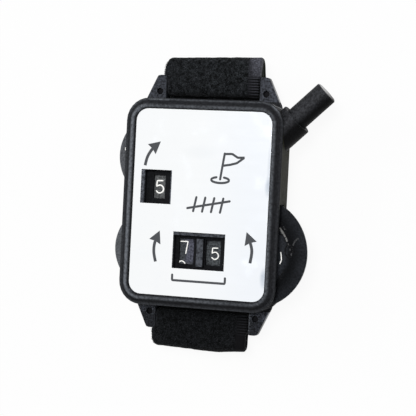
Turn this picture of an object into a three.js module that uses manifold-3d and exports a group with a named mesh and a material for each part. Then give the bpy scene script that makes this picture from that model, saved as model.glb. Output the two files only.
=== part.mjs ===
// A golf stroke counter: a flat moulded case on a folded strap, three number wheels whose rims can be
// turned by thumb, and a push rod at one corner that steps two of them through ratchets.
// Millimetres. X runs to the right of the face, Y to its top and Z out of it. The origin lies under
// the middle of the face plate, on the table that the folded strap rests on.
import * as THREE from 'three';
import { mergeVertices } from 'three/addons/utils/BufferGeometryUtils.js';
import Module from 'manifold-3d';

const wasm = await Module();
wasm.setup();

// Facet counts of round forms
const fineSides = 72;
const roundSides = 40;
const smallSides = 20;
const cornerSteps = 7;
const bendSteps = 5;

// Clearances
const fitGap = 0.1;
const runGap = 0.3;
const overrun = 1;
const tinyStep = 0.1;

// Strap and its fold behind the case
const strapWidth = 25;
const strapThickness = 1.5;
const layerGap = 0.3;
const patchThickness = 0.8;
const patchMargin = 1;
const patchLength = 18;
const patchEndInset = 1;
const topFoldPastBar = 7.2;
const bottomFoldPastBar = 7.45;
const foldRadius = 1.15;
const foldRunLength = 4.4;
const foldRunDrop = 0.1;
const slotMiddle = 1.85;
const upperTailReach = 18;
const lowerTailReach = 17;
const riseRadius = 2;
const crestRadius = 1.5;
const slopeRadius = 3;
const upperSlopeStart = 3.2;
const lowerSlopeStart = 6.7;

// Face plate
const plateWidth = 36.4;
const plateHeight = 48.2;
const plateCorner = 3.2;
const plateThickness = 0.4;
const plateEdgeGap = 0.12;

// Case
const caseDepth = 10.2;
const bezelWidth = 2.8;
const ridgeRise = 0.62;
const caseWall = 1.5;
const panelThickness = 1.4;
const coverThickness = 1.6;
const taperDepth = 1.9;
const taperInset = 1.2;
const coverEdge = 0.4;
const lipHeight = 0.6;
const lipThickness = 0.8;

// Windows in the plate, and the moulded wells under them
const holeReadRadius = 7.9;
const holeWindowWidth = 8.4;
const holeWindowHeight = 8.8;
const holeWellLeftLedge = 0.75;
const holeWellRightLedge = 0.45;
const tensReadRadius = 8.25;
const unitsReadRadius = 9.85;
const totalWindowShift = 0.81;
const totalWindowRise = 0.25;
const totalWindowWidth = 14;
const totalWindowHeight = 9.5;
const totalWellLedge = 0.9;
const wellWall = 0.9;
const wellFloorDepth = 2.7;
const wellFloorThickness = 0.7;
const ribWidth = 1.75;
const ribDrop = 0.5;
const ribEndGap = 0.7;
const holeApertureWidth = 3.2;
const holeApertureHeight = 6.1;
const tensApertureShift = 0.85;
const unitsApertureShift = 0.15;
const totalApertureWidth = 4;
const totalApertureHeight = 6.6;
const totalApertureDrop = 0.1;

// Lugs, their screws and the strap bars
const lugDrop = 6.7;
const lugWidth = 5.65;
const lugTipWidth = 2.3;
const lugRootDepth = 1.8;
const lugShoulderDepth = 0.7;
const lugRootFlare = 0.2;
const lugLength = 6.5;
const lugTipRadius = 0.7;
const lugBackInset = 0.5;
const screwFromLugEdge = 1.68;
const screwFromCase = 2.17;
const screwHoleRadius = 0.9;
const screwShankRadius = 0.75;
const screwHeadRadius = 1.4;
const screwHeadHeight = 0.7;
const screwTipDrop = 0.9;
const crossWidth = 0.35;
const crossLength = 1.7;
const crossDepth = 0.35;
const barRadius = 0.6;
const barFromCase = 4.3;
const barSeatDepth = 2.4;

// Number wheels
const wheelDrop = 3.7;
const wheelThickness = 1.4;
const wheelEdge = 0.25;
const holeWheelFromSide = 9;
const holeWheelFromTop = 15.1;
const holeWheelRadius = 11.9;
const tensWheelFromSide = 8.15;
const tensWheelFromBottom = 14.5;
const tensWheelRadius = 11.1;
const unitsWheelFromSide = 7.5;
const unitsWheelFromBottom = 15.15;
const unitsWheelRadius = 14.4;
const slotGap = 0.3;
const thumbPocketTop = 1;
const pocketWall = 0.6;
const hubSide = 3.6;
const axleRadius = 1;
const axleBossRadius = 2;
const axleSeatDepth = 0.8;

// Ratchets, carry cam and click springs
const digits = 10;
const toothSteps = 3;
const stepAngle = 2 * Math.PI / digits;
const shownUnits = 5;
const carryDigit = 9;
const toothDepth = 1.1;
const ratchetThickness = 1.3;
const holeRatchetRadius = 6.6;
const tensRatchetRadius = 6;
const unitsRatchetRadius = 5;
const camRadius = 5.4;
const camNotchRadius = 1.1;
const clickThickness = 0.4;
const clickHeight = 1.1;
const clickPostRadius = 1.3;
const clickNose = 0.9;
const clickLean = THREE.MathUtils.degToRad(13);
const clickLead = THREE.MathUtils.degToRad(5);
const holePostAcross = 8;
const holePostUp = 9.7;
const tensPostAcross = 8.85;
const tensPostUp = -10.1;
const unitsPostAcross = -9.5;
const unitsPostUp = -10.25;

// Push rod, its sleeve and the parts it carries
const rodAngle = THREE.MathUtils.degToRad(43.5);
const rodCornerOffset = 4.25;
const rodDrop = 5.2;
const rodRadius = 3.1;
const rodReach = 13.4;
const rodInside = 18.95;
const rodChamfer = 0.3;
const stroke = 5;
const sleeveRadius = 4.4;
const sleeveBoreGap = 0.15;
const sleeveStandOut = 3.15;
const sleeveSunk = 4.4;
const sleeveLip = 0.15;
const seatBlockDepth = 6.75;
const seatBlockHalfWidth = 6.4;
const pusherThickness = 1.1;
const pusherSpineHalfWidth = 2.2;
const pusherArmWidth = 4.2;
const pusherArmLead = 5.13;
const pusherWingLength = 1.6;
const pusherWingHalfWidth = 4;
const pegRadius = 0.7;
const firstPegDepth = 2.5;
const secondPegDepth = 8.5;
const rivetRadius = 0.6;
const rivetHeadRadius = 1;
const rivetHeadHeight = 0.35;
const pawlThickness = 1.2;
const pawlWidth = 1.5;
const pawlBossRadius = 1.3;
const pawlTipWidth = 1.2;
const pawlBeakLength = 1.8;
const pawlBeakRise = 0.5;
const pawlEdge = 0.3;
const holePawlDrop = 1.94;
const holePawlLead = 3.5;
const unitsPawlDrop = 2.5;
const unitsPawlLead = 2.95;
const tensPawlDrop = 0.87;
const tensPawlLead = 3;
const followerRadius = 0.6;
const followerShankRadius = 0.4;
const followerEarHalfWidth = 1;
const springWire = 0.45;
const springRadius = 1.5;
const springTurns = 9;
const springEase = 0.6;
const springRise = 0.5;
const springSteps = 12;
const springWireSides = 6;
const spigotRadius = 0.95;
const spigotLength = 1.8;
const springRoom = 14.5;
const abutmentThickness = 1.4;
const abutmentHalfWidth = 2.4;

// Heights worked out from the sizes above
const lowerTailHeight = strapThickness / 2;
const patchLow = strapThickness + layerGap;
const upperTailHeight = patchLow + patchThickness + layerGap + strapThickness / 2;
const innerRunHeight = upperTailHeight + strapThickness + layerGap;
const caseBack = innerRunHeight + strapThickness / 2 + layerGap;
const plateTop = caseBack + caseDepth;
const plateLow = plateTop - plateThickness;
const bedHeight = plateLow - fitGap;
const panelUnder = bedHeight - panelThickness;
const splitHeight = caseBack + coverThickness;
const coverTop = splitHeight - fitGap / 2;
const taperTop = caseBack + taperDepth;
const lugTop = plateTop - lugDrop;
const wellFloorTop = plateTop - wellFloorDepth;
const wellFloorLow = wellFloorTop - wellFloorThickness;
const wheelTop = plateTop - wheelDrop;
const wheelLow = wheelTop - wheelThickness;
const ratchetTop = wheelLow - fitGap;
const ratchetLow = ratchetTop - ratchetThickness;
const pusherTop = ratchetLow - runGap;
const pusherLow = pusherTop - pusherThickness;
const rodHeight = plateTop - rodDrop;
const axleTop = panelUnder + axleSeatDepth;
const axleLow = caseBack + axleSeatDepth;
const pawlLow = pusherTop + fitGap;
const pawlTop = pawlLow + pawlThickness;
const springAxis = rodHeight + springRise;
const frontRunHeight = splitHeight + barRadius + layerGap + strapThickness / 2;

// Half sizes of the case outline at the plate's edge, and what is placed from them
const plateHalfX = plateWidth / 2;
const plateHalfY = plateHeight / 2;
const caseHalfX = plateHalfX + bezelWidth;
const caseHalfY = plateHalfY + bezelWidth;
const lugInner = strapWidth / 2 + layerGap;
const lugReach = caseHalfY + lugLength;
const screwX = lugInner + screwFromLugEdge;
const screwY = caseHalfY + screwFromCase;
const barY = caseHalfY + barFromCase;
const barHalfLength = lugInner + barSeatDepth;
const holeWheelX = holeWheelFromSide - caseHalfX;
const holeWheelY = caseHalfY - holeWheelFromTop;
const tensWheelX = tensWheelFromSide - caseHalfX;
const tensWheelY = tensWheelFromBottom - caseHalfY;
const unitsWheelX = caseHalfX - unitsWheelFromSide;
const unitsWheelY = unitsWheelFromBottom - caseHalfY;
const tensReadX = tensWheelX + tensReadRadius;
const unitsReadX = unitsWheelX - unitsReadRadius;
const holeWindowX = holeWheelX;
const holeWindowY = holeWheelY - holeReadRadius;
const totalWindowX = (tensReadX + unitsReadX) / 2 + totalWindowShift;
const totalWindowY = tensWheelY + totalWindowRise;

// Places along the push rod, from where its line leaves the case's rounded corner
const cornerX = plateHalfX - plateCorner;
const cornerY = plateHalfY - plateCorner;
const rodLineY = cornerY - (cornerX * Math.sin(rodAngle) + rodCornerOffset) / Math.cos(rodAngle);
const rodExit = cornerX * Math.cos(rodAngle) + (cornerY - rodLineY) * Math.sin(rodAngle)
  + Math.sqrt((plateCorner + bezelWidth) ** 2 - rodCornerOffset ** 2);
const rodTip = rodExit + rodReach;
const rodInnerEnd = rodExit - rodInside;
const sleeveFace = rodExit + sleeveStandOut;
const sleeveSeat = rodExit - sleeveSunk;
const seatBlockStart = rodExit - seatBlockDepth;
const pusherEnd = seatBlockStart - runGap;
const pegPlaces = [rodInnerEnd + firstPegDepth, rodInnerEnd + secondPegDepth];
const abutmentPlace = rodInnerEnd - springRoom;

// The bezel's section, from its outer lip over the groove and the ridge to the plate's edge:
// shares of the bezel's width outwards from the plate, and of the ridge's rise over the plate
const bezelShares = [
  [1, -0.56], [0.96, -0.26], [0.87, -0.16], [0.75, -0.35], [0.57, 0.16], [0.48, 0.68],
  [0.37, 0.94], [0.27, 1], [0.16, 0.9], [0.07, 0.55],
];

// Materials
const finish = (color, roughness, metalness) => (
  new THREE.MeshStandardMaterial({ color, roughness, metalness })
);
const casePlastic = () => finish(0x3a3c40, 0.5, 0);
const darkPlastic = () => finish(0x232427, 0.45, 0);
const mirrorSheet = () => finish(0xe6e9ea, 0.15, 1);
const steel = () => finish(0xb9bcc0, 0.35, 1);
const brass = () => finish(0xb8975a, 0.4, 1);
const tape = () => finish(0x191a1d, 0.95, 0);

// Solids
function toSolid(geometry) {
  const bare = geometry.clone();
  bare.deleteAttribute('normal');
  bare.deleteAttribute('uv');
  const merged = mergeVertices(bare);
  const corners = Array.from(merged.index.array);
  const kept = corners.filter((_, place) => {
    const first = place - place % 3;
    const [a, b, c] = corners.slice(first, first + 3);
    return a !== b && b !== c && c !== a;
  });
  const mesh = new wasm.Mesh({
    numProp: 3,
    vertProperties: new Float32Array(merged.attributes.position.array),
    triVerts: new Uint32Array(kept),
  });
  return new wasm.Manifold(mesh);
}

function toGeometry(solid) {
  const mesh = solid.getMesh();
  const geometry = new THREE.BufferGeometry();
  geometry.setAttribute('position', new THREE.BufferAttribute(new Float32Array(mesh.vertProperties), 3));
  geometry.setIndex(new THREE.BufferAttribute(new Uint32Array(mesh.triVerts), 1));
  geometry.computeVertexNormals();
  return geometry;
}

const join = (first, ...others) => others.reduce((sum, next) => sum.add(next), first);
const cut = (first, ...others) => others.reduce((rest, next) => rest.subtract(next), first);

function piece(name, material, shape) {
  const geometry = shape.isBufferGeometry ? shape : toGeometry(shape);
  const mesh = new THREE.Mesh(geometry, material);
  mesh.name = name;
  return mesh;
}

// Basic forms
function drum(radius, low, high, x = 0, y = 0, sides = smallSides) {
  const geometry = new THREE.CylinderGeometry(radius, radius, high - low, sides);
  geometry.rotateX(Math.PI / 2);
  geometry.translate(x, y, (low + high) / 2);
  return toSolid(geometry);
}

function block(left, right, front, back, low, high) {
  const geometry = new THREE.BoxGeometry(right - left, back - front, high - low);
  geometry.translate((left + right) / 2, (front + back) / 2, (low + high) / 2);
  return toSolid(geometry);
}

function slabGeometry(shape, low, high) {
  const geometry = new THREE.ExtrudeGeometry(shape, {
    depth: high - low, bevelEnabled: false, curveSegments: cornerSteps,
  });
  geometry.translate(0, 0, low);
  return geometry;
}

const slab = (shape, low, high) => toSolid(slabGeometry(shape, low, high));

// A bar that is round about the push rod's own line, given by places along that line
function rodDrum(radius, start, end, sides = roundSides) {
  const geometry = new THREE.CylinderGeometry(radius, radius, end - start, sides);
  geometry.rotateZ(-Math.PI / 2);
  geometry.translate((start + end) / 2, 0, rodHeight);
  return geometry;
}

// Moves a form from the push rod's frame, where X runs out along the rod, to the case's frame
function fromRodFrame(geometry) {
  const moved = geometry.clone();
  moved.rotateZ(rodAngle);
  moved.translate(0, rodLineY, 0);
  return toSolid(moved);
}

// The rounded outline of the plate, set outwards by an offset
function outlineAt(offset) {
  const points = [];
  const radius = plateCorner + offset;
  const corners = [[1, 1], [-1, 1], [-1, -1], [1, -1]];
  corners.forEach(([sideX, sideY], quarter) => {
    const centerX = sideX * (plateHalfX - plateCorner);
    const centerY = sideY * (plateHalfY - plateCorner);
    for (let step = 0; step <= cornerSteps; step += 1) {
      const angle = (quarter + step / cornerSteps) * Math.PI / 2;
      points.push([centerX + radius * Math.cos(angle), centerY + radius * Math.sin(angle)]);
    }
  });
  return points;
}

// A closed body through a stack of outlines, each given as [offset, height]
function stack(sections) {
  const positions = [];
  const triangles = [];
  const rings = sections.map(([offset, height]) => outlineAt(offset).map(([x, y]) => [x, y, height]));
  const count = rings[0].length;
  rings.flat().forEach((point) => positions.push(...point));
  for (let ring = 0; ring < rings.length - 1; ring += 1) {
    for (let spot = 0; spot < count; spot += 1) {
      const next = (spot + 1) % count;
      const low = ring * count;
      const high = low + count;
      triangles.push(low + spot, low + next, high + next, low + spot, high + next, high + spot);
    }
  }
  const lowCenter = positions.length / 3;
  positions.push(0, 0, sections[0][1]);
  positions.push(0, 0, sections[sections.length - 1][1]);
  const lastRing = (rings.length - 1) * count;
  for (let spot = 0; spot < count; spot += 1) {
    const next = (spot + 1) % count;
    triangles.push(lowCenter, next, spot);
    triangles.push(lowCenter + 1, lastRing + spot, lastRing + next);
  }
  const geometry = new THREE.BufferGeometry();
  geometry.setAttribute('position', new THREE.Float32BufferAttribute(positions, 3));
  geometry.setIndex(triangles);
  return geometry;
}

// A route through corner points [x, y, radius], with each corner rounded to its radius
function roundRoute(corners) {
  const route = [];
  corners.forEach(([x, y, radius], index) => {
    const here = new THREE.Vector2(x, y);
    if (!radius) {
      route.push(here);
      return;
    }
    const back = new THREE.Vector2(...corners[index - 1].slice(0, 2)).sub(here).normalize();
    const ahead = new THREE.Vector2(...corners[index + 1].slice(0, 2)).sub(here).normalize();
    const half = Math.acos(THREE.MathUtils.clamp(back.dot(ahead), -1, 1)) / 2;
    const reach = radius / Math.sin(half);
    const center = back.clone().add(ahead).normalize().multiplyScalar(reach).add(here);
    const first = back.clone().multiplyScalar(radius / Math.tan(half)).add(here).sub(center);
    const last = ahead.clone().multiplyScalar(radius / Math.tan(half)).add(here).sub(center);
    const turn = Math.atan2(first.cross(last), first.dot(last));
    const steps = Math.ceil(bendSteps * Math.abs(turn) / (Math.PI / 2));
    for (let step = 0; step <= steps; step += 1) {
      route.push(first.clone().rotateAround(new THREE.Vector2(), turn * step / steps).add(center));
    }
  });
  return route.filter((point, index) => index === 0 || point.distanceTo(route[index - 1]) > tinyStep);
}

// The outline of a band of even thickness along a route
function bandShape(route, thickness) {
  const sides = [[], []];
  route.forEach((point, index) => {
    const before = route[Math.max(index - 1, 0)];
    const after = route[Math.min(index + 1, route.length - 1)];
    const inward = point.clone().sub(before).normalize();
    const onward = after.clone().sub(point).normalize();
    const along = inward.clone().add(onward).normalize();
    const bend = Math.max(inward.lengthSq() && onward.lengthSq() ? along.dot(onward) : 1, 0.5);
    const normal = new THREE.Vector2(-along.y, along.x).multiplyScalar(thickness / 2 / bend);
    sides[0].push(point.clone().add(normal));
    sides[1].push(point.clone().sub(normal));
  });
  return new THREE.Shape([...sides[0], ...sides[1].reverse()]);
}

function rectangle(left, right, low, high, ShapeClass = THREE.Shape) {
  return new ShapeClass([
    new THREE.Vector2(left, low), new THREE.Vector2(right, low),
    new THREE.Vector2(right, high), new THREE.Vector2(left, high),
  ]);
}

function windowEdges(x, y, width, height) {
  return [x - width / 2, x + width / 2, y - height / 2, y + height / 2];
}

// The three wheels with what differs between them: the sense in which each is stepped, seen from
// the front, the side its pawl's beak looks to, and the tooth at which its click spring rests
const wheelSet = [
  {
    name: 'hole', x: holeWheelX, y: holeWheelY, radius: holeWheelRadius, ratchet: holeRatchetRadius,
    sense: -1, beak: 1, pawlDrop: holePawlDrop, pawlLead: holePawlLead,
    postX: holeWheelX + holePostAcross, postY: holeWheelY + holePostUp, clickTooth: 3, hubLow: ratchetLow,
  },
  {
    name: 'tens', x: tensWheelX, y: tensWheelY, radius: tensWheelRadius, ratchet: tensRatchetRadius,
    sense: -1, beak: 1, pawlDrop: tensPawlDrop, pawlLead: tensPawlLead,
    postX: tensWheelX + tensPostAcross, postY: tensWheelY + tensPostUp, clickTooth: -2,
    hubLow: ratchetLow,
  },
  {
    name: 'units', x: unitsWheelX, y: unitsWheelY, radius: unitsWheelRadius, ratchet: unitsRatchetRadius,
    sense: 1, beak: -1, pawlDrop: unitsPawlDrop, pawlLead: unitsPawlLead,
    postX: unitsWheelX + unitsPostAcross, postY: unitsWheelY + unitsPostUp, clickTooth: -6,
    hubLow: pusherLow,
  },
];
const [holeWheel, tensWheel, unitsWheel] = wheelSet;

// A wheel's middle in the push rod's frame
const inRodFrame = ({ x, y }) => (
  new THREE.Vector2(x, y - rodLineY).rotateAround(new THREE.Vector2(), -rodAngle)
);

// Where a pawl's beak starts, just clear of the teeth it goes by
function pawlTipAt(wheel) {
  const center = inRodFrame(wheel);
  return new THREE.Vector2(center.x + wheel.pawlLead, center.y - wheel.beak * (wheel.ratchet + runGap));
}

// A pawl turns on its rivet, whose place across the rod's line follows from the beak's
const pawlPivotPlace = inRodFrame(holeWheel).x + pusherArmLead + pusherArmWidth / 2;
const pawlPivotAcross = (wheel) => pawlTipAt(wheel).y - wheel.beak * wheel.pawlDrop;
const pusherStart = pawlPivotPlace - pusherArmWidth / 2;
const pusherHoleReach = pawlPivotAcross(holeWheel) + pawlBossRadius + runGap;
const pusherUnitsReach = pawlPivotAcross(unitsWheel) - pawlBossRadius - runGap;

// The angle of one steep tooth face, which lies one step before the pawl's place at the stroke's end
function toothPhase(wheel) {
  const reach = pawlTipAt(wheel).sub(inRodFrame(wheel));
  return Math.atan2(reach.y, reach.x - stroke) - wheel.sense * stepAngle + rodAngle;
}

// Moulded case front
function caseSkin() {
  const taperShare = (taperTop - splitHeight) / taperDepth;
  const rim = bezelShares.map(([out, up]) => [out * bezelWidth, plateTop + up * ridgeRise]);
  return toSolid(stack([
    [bezelWidth - taperShare * taperInset, splitHeight],
    [bezelWidth, taperTop],
    ...rim,
    [plateEdgeGap, plateTop],
    [plateEdgeGap, bedHeight],
  ]));
}

function caseHollow() {
  const inside = bezelWidth - caseWall;
  const drop = taperTop - splitHeight + overrun;
  return toSolid(stack([
    [inside - taperInset * drop / taperDepth, taperTop - drop],
    [inside, taperTop],
    [inside, panelUnder],
  ]));
}

function wellOuter(left, right, low, high) {
  return block(
    left - wellWall, right + wellWall, low - wellWall, high + wellWall, wellFloorLow, panelUnder + fitGap,
  );
}

function wellInner(left, right, low, high) {
  return block(left, right, low, high, wellFloorTop, bedHeight + overrun);
}

function aperture(x, y, width, height) {
  const [left, right, low, high] = windowEdges(x, y, width, height);
  return block(left, right, low, high, wellFloorLow - overrun, wellFloorTop + overrun / 2);
}

const holeWell = windowEdges(
  holeWindowX + (holeWellLeftLedge - holeWellRightLedge) / 2, holeWindowY,
  holeWindowWidth - holeWellLeftLedge - holeWellRightLedge, holeWindowHeight,
);
const totalWell = windowEdges(
  totalWindowX, totalWindowY - totalWellLedge / 2, totalWindowWidth, totalWindowHeight - totalWellLedge,
);

// The bar that parts the two figures of the total
function windowRib() {
  const [, , low, high] = totalWell;
  const left = totalWindowX - ribWidth / 2;
  return block(
    left, left + ribWidth, low + ribEndGap, high - ribEndGap, wellFloorTop - fitGap, bedHeight - ribDrop,
  );
}

function lugShape(sideX, sideY, inset) {
  const shoulder = new THREE.Vector2(lugInner + lugWidth - inset, caseHalfY - lugShoulderDepth);
  const tip = new THREE.Vector2(lugInner + lugTipWidth - inset, lugReach);
  const lean = shoulder.clone().sub(tip).normalize().multiplyScalar(lugTipRadius);
  const points = [
    [lugInner, caseHalfY - lugRootDepth], [shoulder.x + lugRootFlare, caseHalfY - lugRootDepth],
    [shoulder.x, shoulder.y], [tip.x + lean.x, tip.y + lean.y],
    [tip.x + (lean.x - lugTipRadius / 2) / 2, tip.y + lean.y / 4], [tip.x - lugTipRadius, tip.y],
    [lugInner + lugTipRadius / 2, tip.y], [lugInner, tip.y - lugTipRadius / 2],
  ].map(([x, y]) => new THREE.Vector2(sideX * x, sideY * y));
  return new THREE.Shape(sideX * sideY > 0 ? points : points.reverse());
}

const lugCorners = [[1, 1], [-1, 1], [-1, -1], [1, -1]];
const lugs = (low, high, inset) => lugCorners.map(([sideX, sideY]) => (
  slab(lugShape(sideX, sideY, inset), low, high)
));

// Grooves that clamp the two strap bars where the case halves meet
function barGrooves() {
  return [1, -1].map((side) => {
    const geometry = new THREE.CylinderGeometry(
      barRadius + fitGap, barRadius + fitGap, 2 * (barHalfLength + fitGap), smallSides,
    );
    geometry.rotateZ(Math.PI / 2);
    geometry.translate(0, side * barY, splitHeight);
    return toSolid(geometry);
  });
}

const screwPlaces = lugCorners.map(([sideX, sideY]) => [sideX * screwX, sideY * screwY]);

// The slot that a wheel's rim comes out of, with a thumb pocket over it
function wheelSlot({ x, y, radius }) {
  const side = Math.sign(x);
  const reach = radius + slotGap;
  const inside = caseHalfX - caseWall;
  const slot = drum(reach, wheelLow - slotGap, wheelTop + slotGap - fitGap / 2, x, y, fineSides);
  const pocket = drum(reach, wheelTop, plateTop - thumbPocketTop, x, y, fineSides);
  const edges = [side * (inside + pocketWall), side * (caseHalfX + overrun)].sort((a, b) => a - b);
  const wallZone = block(...edges, -caseHalfY, caseHalfY, wheelLow, plateTop);
  return slot.add(pocket.intersect(wallZone));
}

// The thick corner that carries the push rod's sleeve
function seatBlock() {
  const geometry = new THREE.BoxGeometry(
    caseHalfY, 2 * seatBlockHalfWidth, bedHeight - splitHeight,
  );
  geometry.translate(seatBlockStart + caseHalfY / 2, 0, (bedHeight + splitHeight) / 2);
  return fromRodFrame(geometry).intersect(caseSkin());
}

const sleeveHole = () => fromRodFrame(rodDrum(sleeveRadius + fitGap, sleeveSeat, sleeveFace + overrun));
const rodHole = () => fromRodFrame(
  rodDrum(rodRadius + 2 * fitGap, seatBlockStart - overrun, sleeveSeat + overrun),
);

function frontCase() {
  const bosses = wheelSet.map(({ x, y }) => (
    drum(axleBossRadius, wheelTop + runGap, panelUnder + fitGap, x, y)
  ));
  const axleHoles = wheelSet.map(({ x, y }) => (
    drum(axleRadius + fitGap, wheelTop, axleTop + fitGap, x, y)
  ));
  let body = cut(caseSkin(), caseHollow());
  body = join(body, seatBlock(), ...bosses, wellOuter(...holeWell), wellOuter(...totalWell));
  body = cut(body, wellInner(...holeWell), wellInner(...totalWell), ...wheelSet.map(wheelSlot));
  body = join(body, windowRib(), ...lugs(splitHeight, lugTop, 0));
  const apertureY = tensWheelY - totalApertureDrop;
  const windows = [
    aperture(holeWindowX, holeWindowY, holeApertureWidth, holeApertureHeight),
    aperture(tensReadX + tensApertureShift, apertureY, totalApertureWidth, totalApertureHeight),
    aperture(unitsReadX - unitsApertureShift, apertureY, totalApertureWidth, totalApertureHeight),
  ];
  const screwHoles = screwPlaces.map(([x, y]) => (
    drum(screwHoleRadius, splitHeight - overrun, lugTop + overrun, x, y)
  ));
  return cut(body, ...windows, ...axleHoles, ...screwHoles, ...barGrooves(), sleeveHole(), rodHole());
}

// Face plate with its two windows
function facePlate() {
  const shape = new THREE.Shape(outlineAt(0).map(([x, y]) => new THREE.Vector2(x, y)));
  shape.holes.push(rectangle(
    ...windowEdges(holeWindowX, holeWindowY, holeWindowWidth, holeWindowHeight), THREE.Path,
  ));
  shape.holes.push(rectangle(
    ...windowEdges(totalWindowX, totalWindowY, totalWindowWidth, totalWindowHeight), THREE.Path,
  ));
  return slabGeometry(shape, plateLow, plateTop);
}

// Back cover
function coverSkin() {
  const outward = (height) => bezelWidth - taperInset * (taperTop - height) / taperDepth;
  return toSolid(stack([
    [outward(caseBack) - coverEdge, caseBack],
    [outward(caseBack + coverEdge), caseBack + coverEdge],
    [outward(coverTop), coverTop],
  ]));
}

// The lip that locates the cover inside the case front
function coverLip() {
  const outer = bezelWidth - caseWall - taperInset * (taperTop - coverTop) / taperDepth - runGap;
  const ring = toSolid(stack([[outer, coverTop - fitGap], [outer, coverTop + lipHeight]]));
  const inside = outer - lipThickness;
  const inner = toSolid(stack([[inside, coverTop - overrun], [inside, coverTop + overrun]]));
  const corner = new THREE.BoxGeometry(caseHalfY, 2 * (seatBlockHalfWidth + runGap), overrun * 2);
  corner.translate(seatBlockStart - runGap + caseHalfY / 2, 0, coverTop + overrun);
  return cut(ring, inner, fromRodFrame(corner));
}

// A rib that the return spring pushes against, with a spigot inside the spring
function springAbutment() {
  const top = springAxis + abutmentHalfWidth;
  const middle = abutmentPlace - abutmentThickness / 2;
  const wall = new THREE.BoxGeometry(abutmentThickness, 2 * abutmentHalfWidth, top - coverTop);
  wall.translate(middle, 0, (top + coverTop - fitGap) / 2);
  const spigot = springDrum(spigotRadius, middle, abutmentPlace + spigotLength);
  return fromRodFrame(wall).add(fromRodFrame(spigot));
}

function springDrum(radius, start, end) {
  const geometry = new THREE.CylinderGeometry(radius, radius, end - start, smallSides);
  geometry.rotateZ(-Math.PI / 2);
  geometry.translate((start + end) / 2, 0, springAxis);
  return geometry;
}

function backCover() {
  const bosses = wheelSet.map(({ x, y, hubLow }) => (
    drum(axleBossRadius, coverTop - fitGap, hubLow - runGap, x, y)
  ));
  const axleHoles = wheelSet.map(({ x, y }) => (
    drum(axleRadius + fitGap, axleLow - fitGap, ratchetTop, x, y)
  ));
  const posts = wheelSet.map(clickPost);
  const screwHoles = screwPlaces.map(([x, y]) => (
    drum(screwHoleRadius, caseBack - overrun, splitHeight, x, y)
  ));
  const headHoles = screwPlaces.map(([x, y]) => (
    drum(screwHeadRadius + fitGap, caseBack - overrun, caseBack + screwHeadHeight + fitGap, x, y)
  ));
  const backLugs = lugs(caseBack, coverTop, lugBackInset);
  let body = join(coverSkin(), coverLip(), ...backLugs, ...bosses, ...posts, springAbutment());
  body = cut(body, ...axleHoles, ...screwHoles, ...headHoles, ...barGrooves(), sleeveHole());
  return cut(body, ...wheelSet.map(clickSlot));
}

// Click springs: a leaf from a post on the cover to a nose over the ratchet's teeth
const atAngle = (wheel, radius, angle) => new THREE.Vector2(
  wheel.x + radius * Math.cos(angle), wheel.y + radius * Math.sin(angle),
);

function clickRoute(wheel) {
  const { postX, postY, ratchet } = wheel;
  const noseAngle = toothPhase(wheel) + wheel.clickTooth * stepAngle - wheel.sense * clickLead;
  const post = new THREE.Vector2(postX, postY);
  const near = ratchet + runGap + clickThickness;
  const across = (postX - wheel.x) * Math.sin(noseAngle) - (postY - wheel.y) * Math.cos(noseAngle);
  const turn = Math.sign(across);
  const lean = clickLean * turn;
  const nose = atAngle(wheel, near, noseAngle);
  const shoulder = atAngle(wheel, near + clickNose, noseAngle - lean);
  const lift = atAngle(wheel, near + clickNose, noseAngle + lean / 2);
  const root = post.clone().sub(shoulder).normalize().multiplyScalar(clickPostRadius).add(post);
  return [root, shoulder, nose, lift];
}

function clickSpring(wheel) {
  return slabGeometry(bandShape(clickRoute(wheel), clickThickness), pawlLow, pawlLow + clickHeight);
}

function clickPost({ postX, postY }) {
  return drum(clickPostRadius, coverTop - fitGap, pawlTop - fitGap, postX, postY);
}

function clickSlot(wheel) {
  const [root, shoulder] = clickRoute(wheel);
  const ahead = shoulder.clone().sub(root).normalize();
  const ends = [-overrun, 2 * clickPostRadius + overrun].map((reach) => (
    root.clone().addScaledVector(ahead, reach)
  ));
  return slab(bandShape(ends, clickThickness + 3 * fitGap), pawlLow - fitGap, pawlTop + overrun);
}

// Number wheels, each a disc with a square hub that its ratchet is keyed to
const squareHub = (x, y, size, low, high) => (
  block(x - size / 2, x + size / 2, y - size / 2, y + size / 2, low, high)
);

function wheelDisc({ x, y, radius, hubLow }) {
  const profile = [
    [0, wheelLow], [radius - wheelEdge, wheelLow], [radius, wheelLow + wheelEdge],
    [radius, wheelTop - wheelEdge], [radius - wheelEdge, wheelTop], [0, wheelTop],
  ].map(([out, height]) => new THREE.Vector2(out, height));
  const disc = new THREE.LatheGeometry(profile, fineSides);
  disc.rotateX(Math.PI / 2);
  disc.translate(x, y, 0);
  const whole = join(toSolid(disc), squareHub(x, y, hubSide, hubLow, wheelLow + fitGap));
  return cut(whole, drum(axleRadius + runGap, hubLow - overrun, wheelTop + overrun, x, y));
}

// A ratchet with saw teeth whose steep faces look against the sense of turning
function ratchetShape(wheel) {
  const { x, y, ratchet, sense } = wheel;
  const phase = toothPhase(wheel);
  const points = [];
  for (let tooth = 0; tooth < digits; tooth += 1) {
    for (let step = 0; step <= toothSteps; step += 1) {
      const share = step / toothSteps;
      const angle = phase + sense * stepAngle * (1 - share - tooth);
      const reach = ratchet - toothDepth * (1 - share);
      points.push(new THREE.Vector2(x + reach * Math.cos(angle), y + reach * Math.sin(angle)));
    }
  }
  return new THREE.Shape(points);
}

function ratchetWheel(wheel) {
  const body = slab(ratchetShape(wheel), ratchetLow, ratchetTop);
  const hubHole = squareHub(
    wheel.x, wheel.y, hubSide + 2 * fitGap, ratchetLow - overrun, ratchetTop + overrun,
  );
  return cut(body, hubHole);
}

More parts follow.
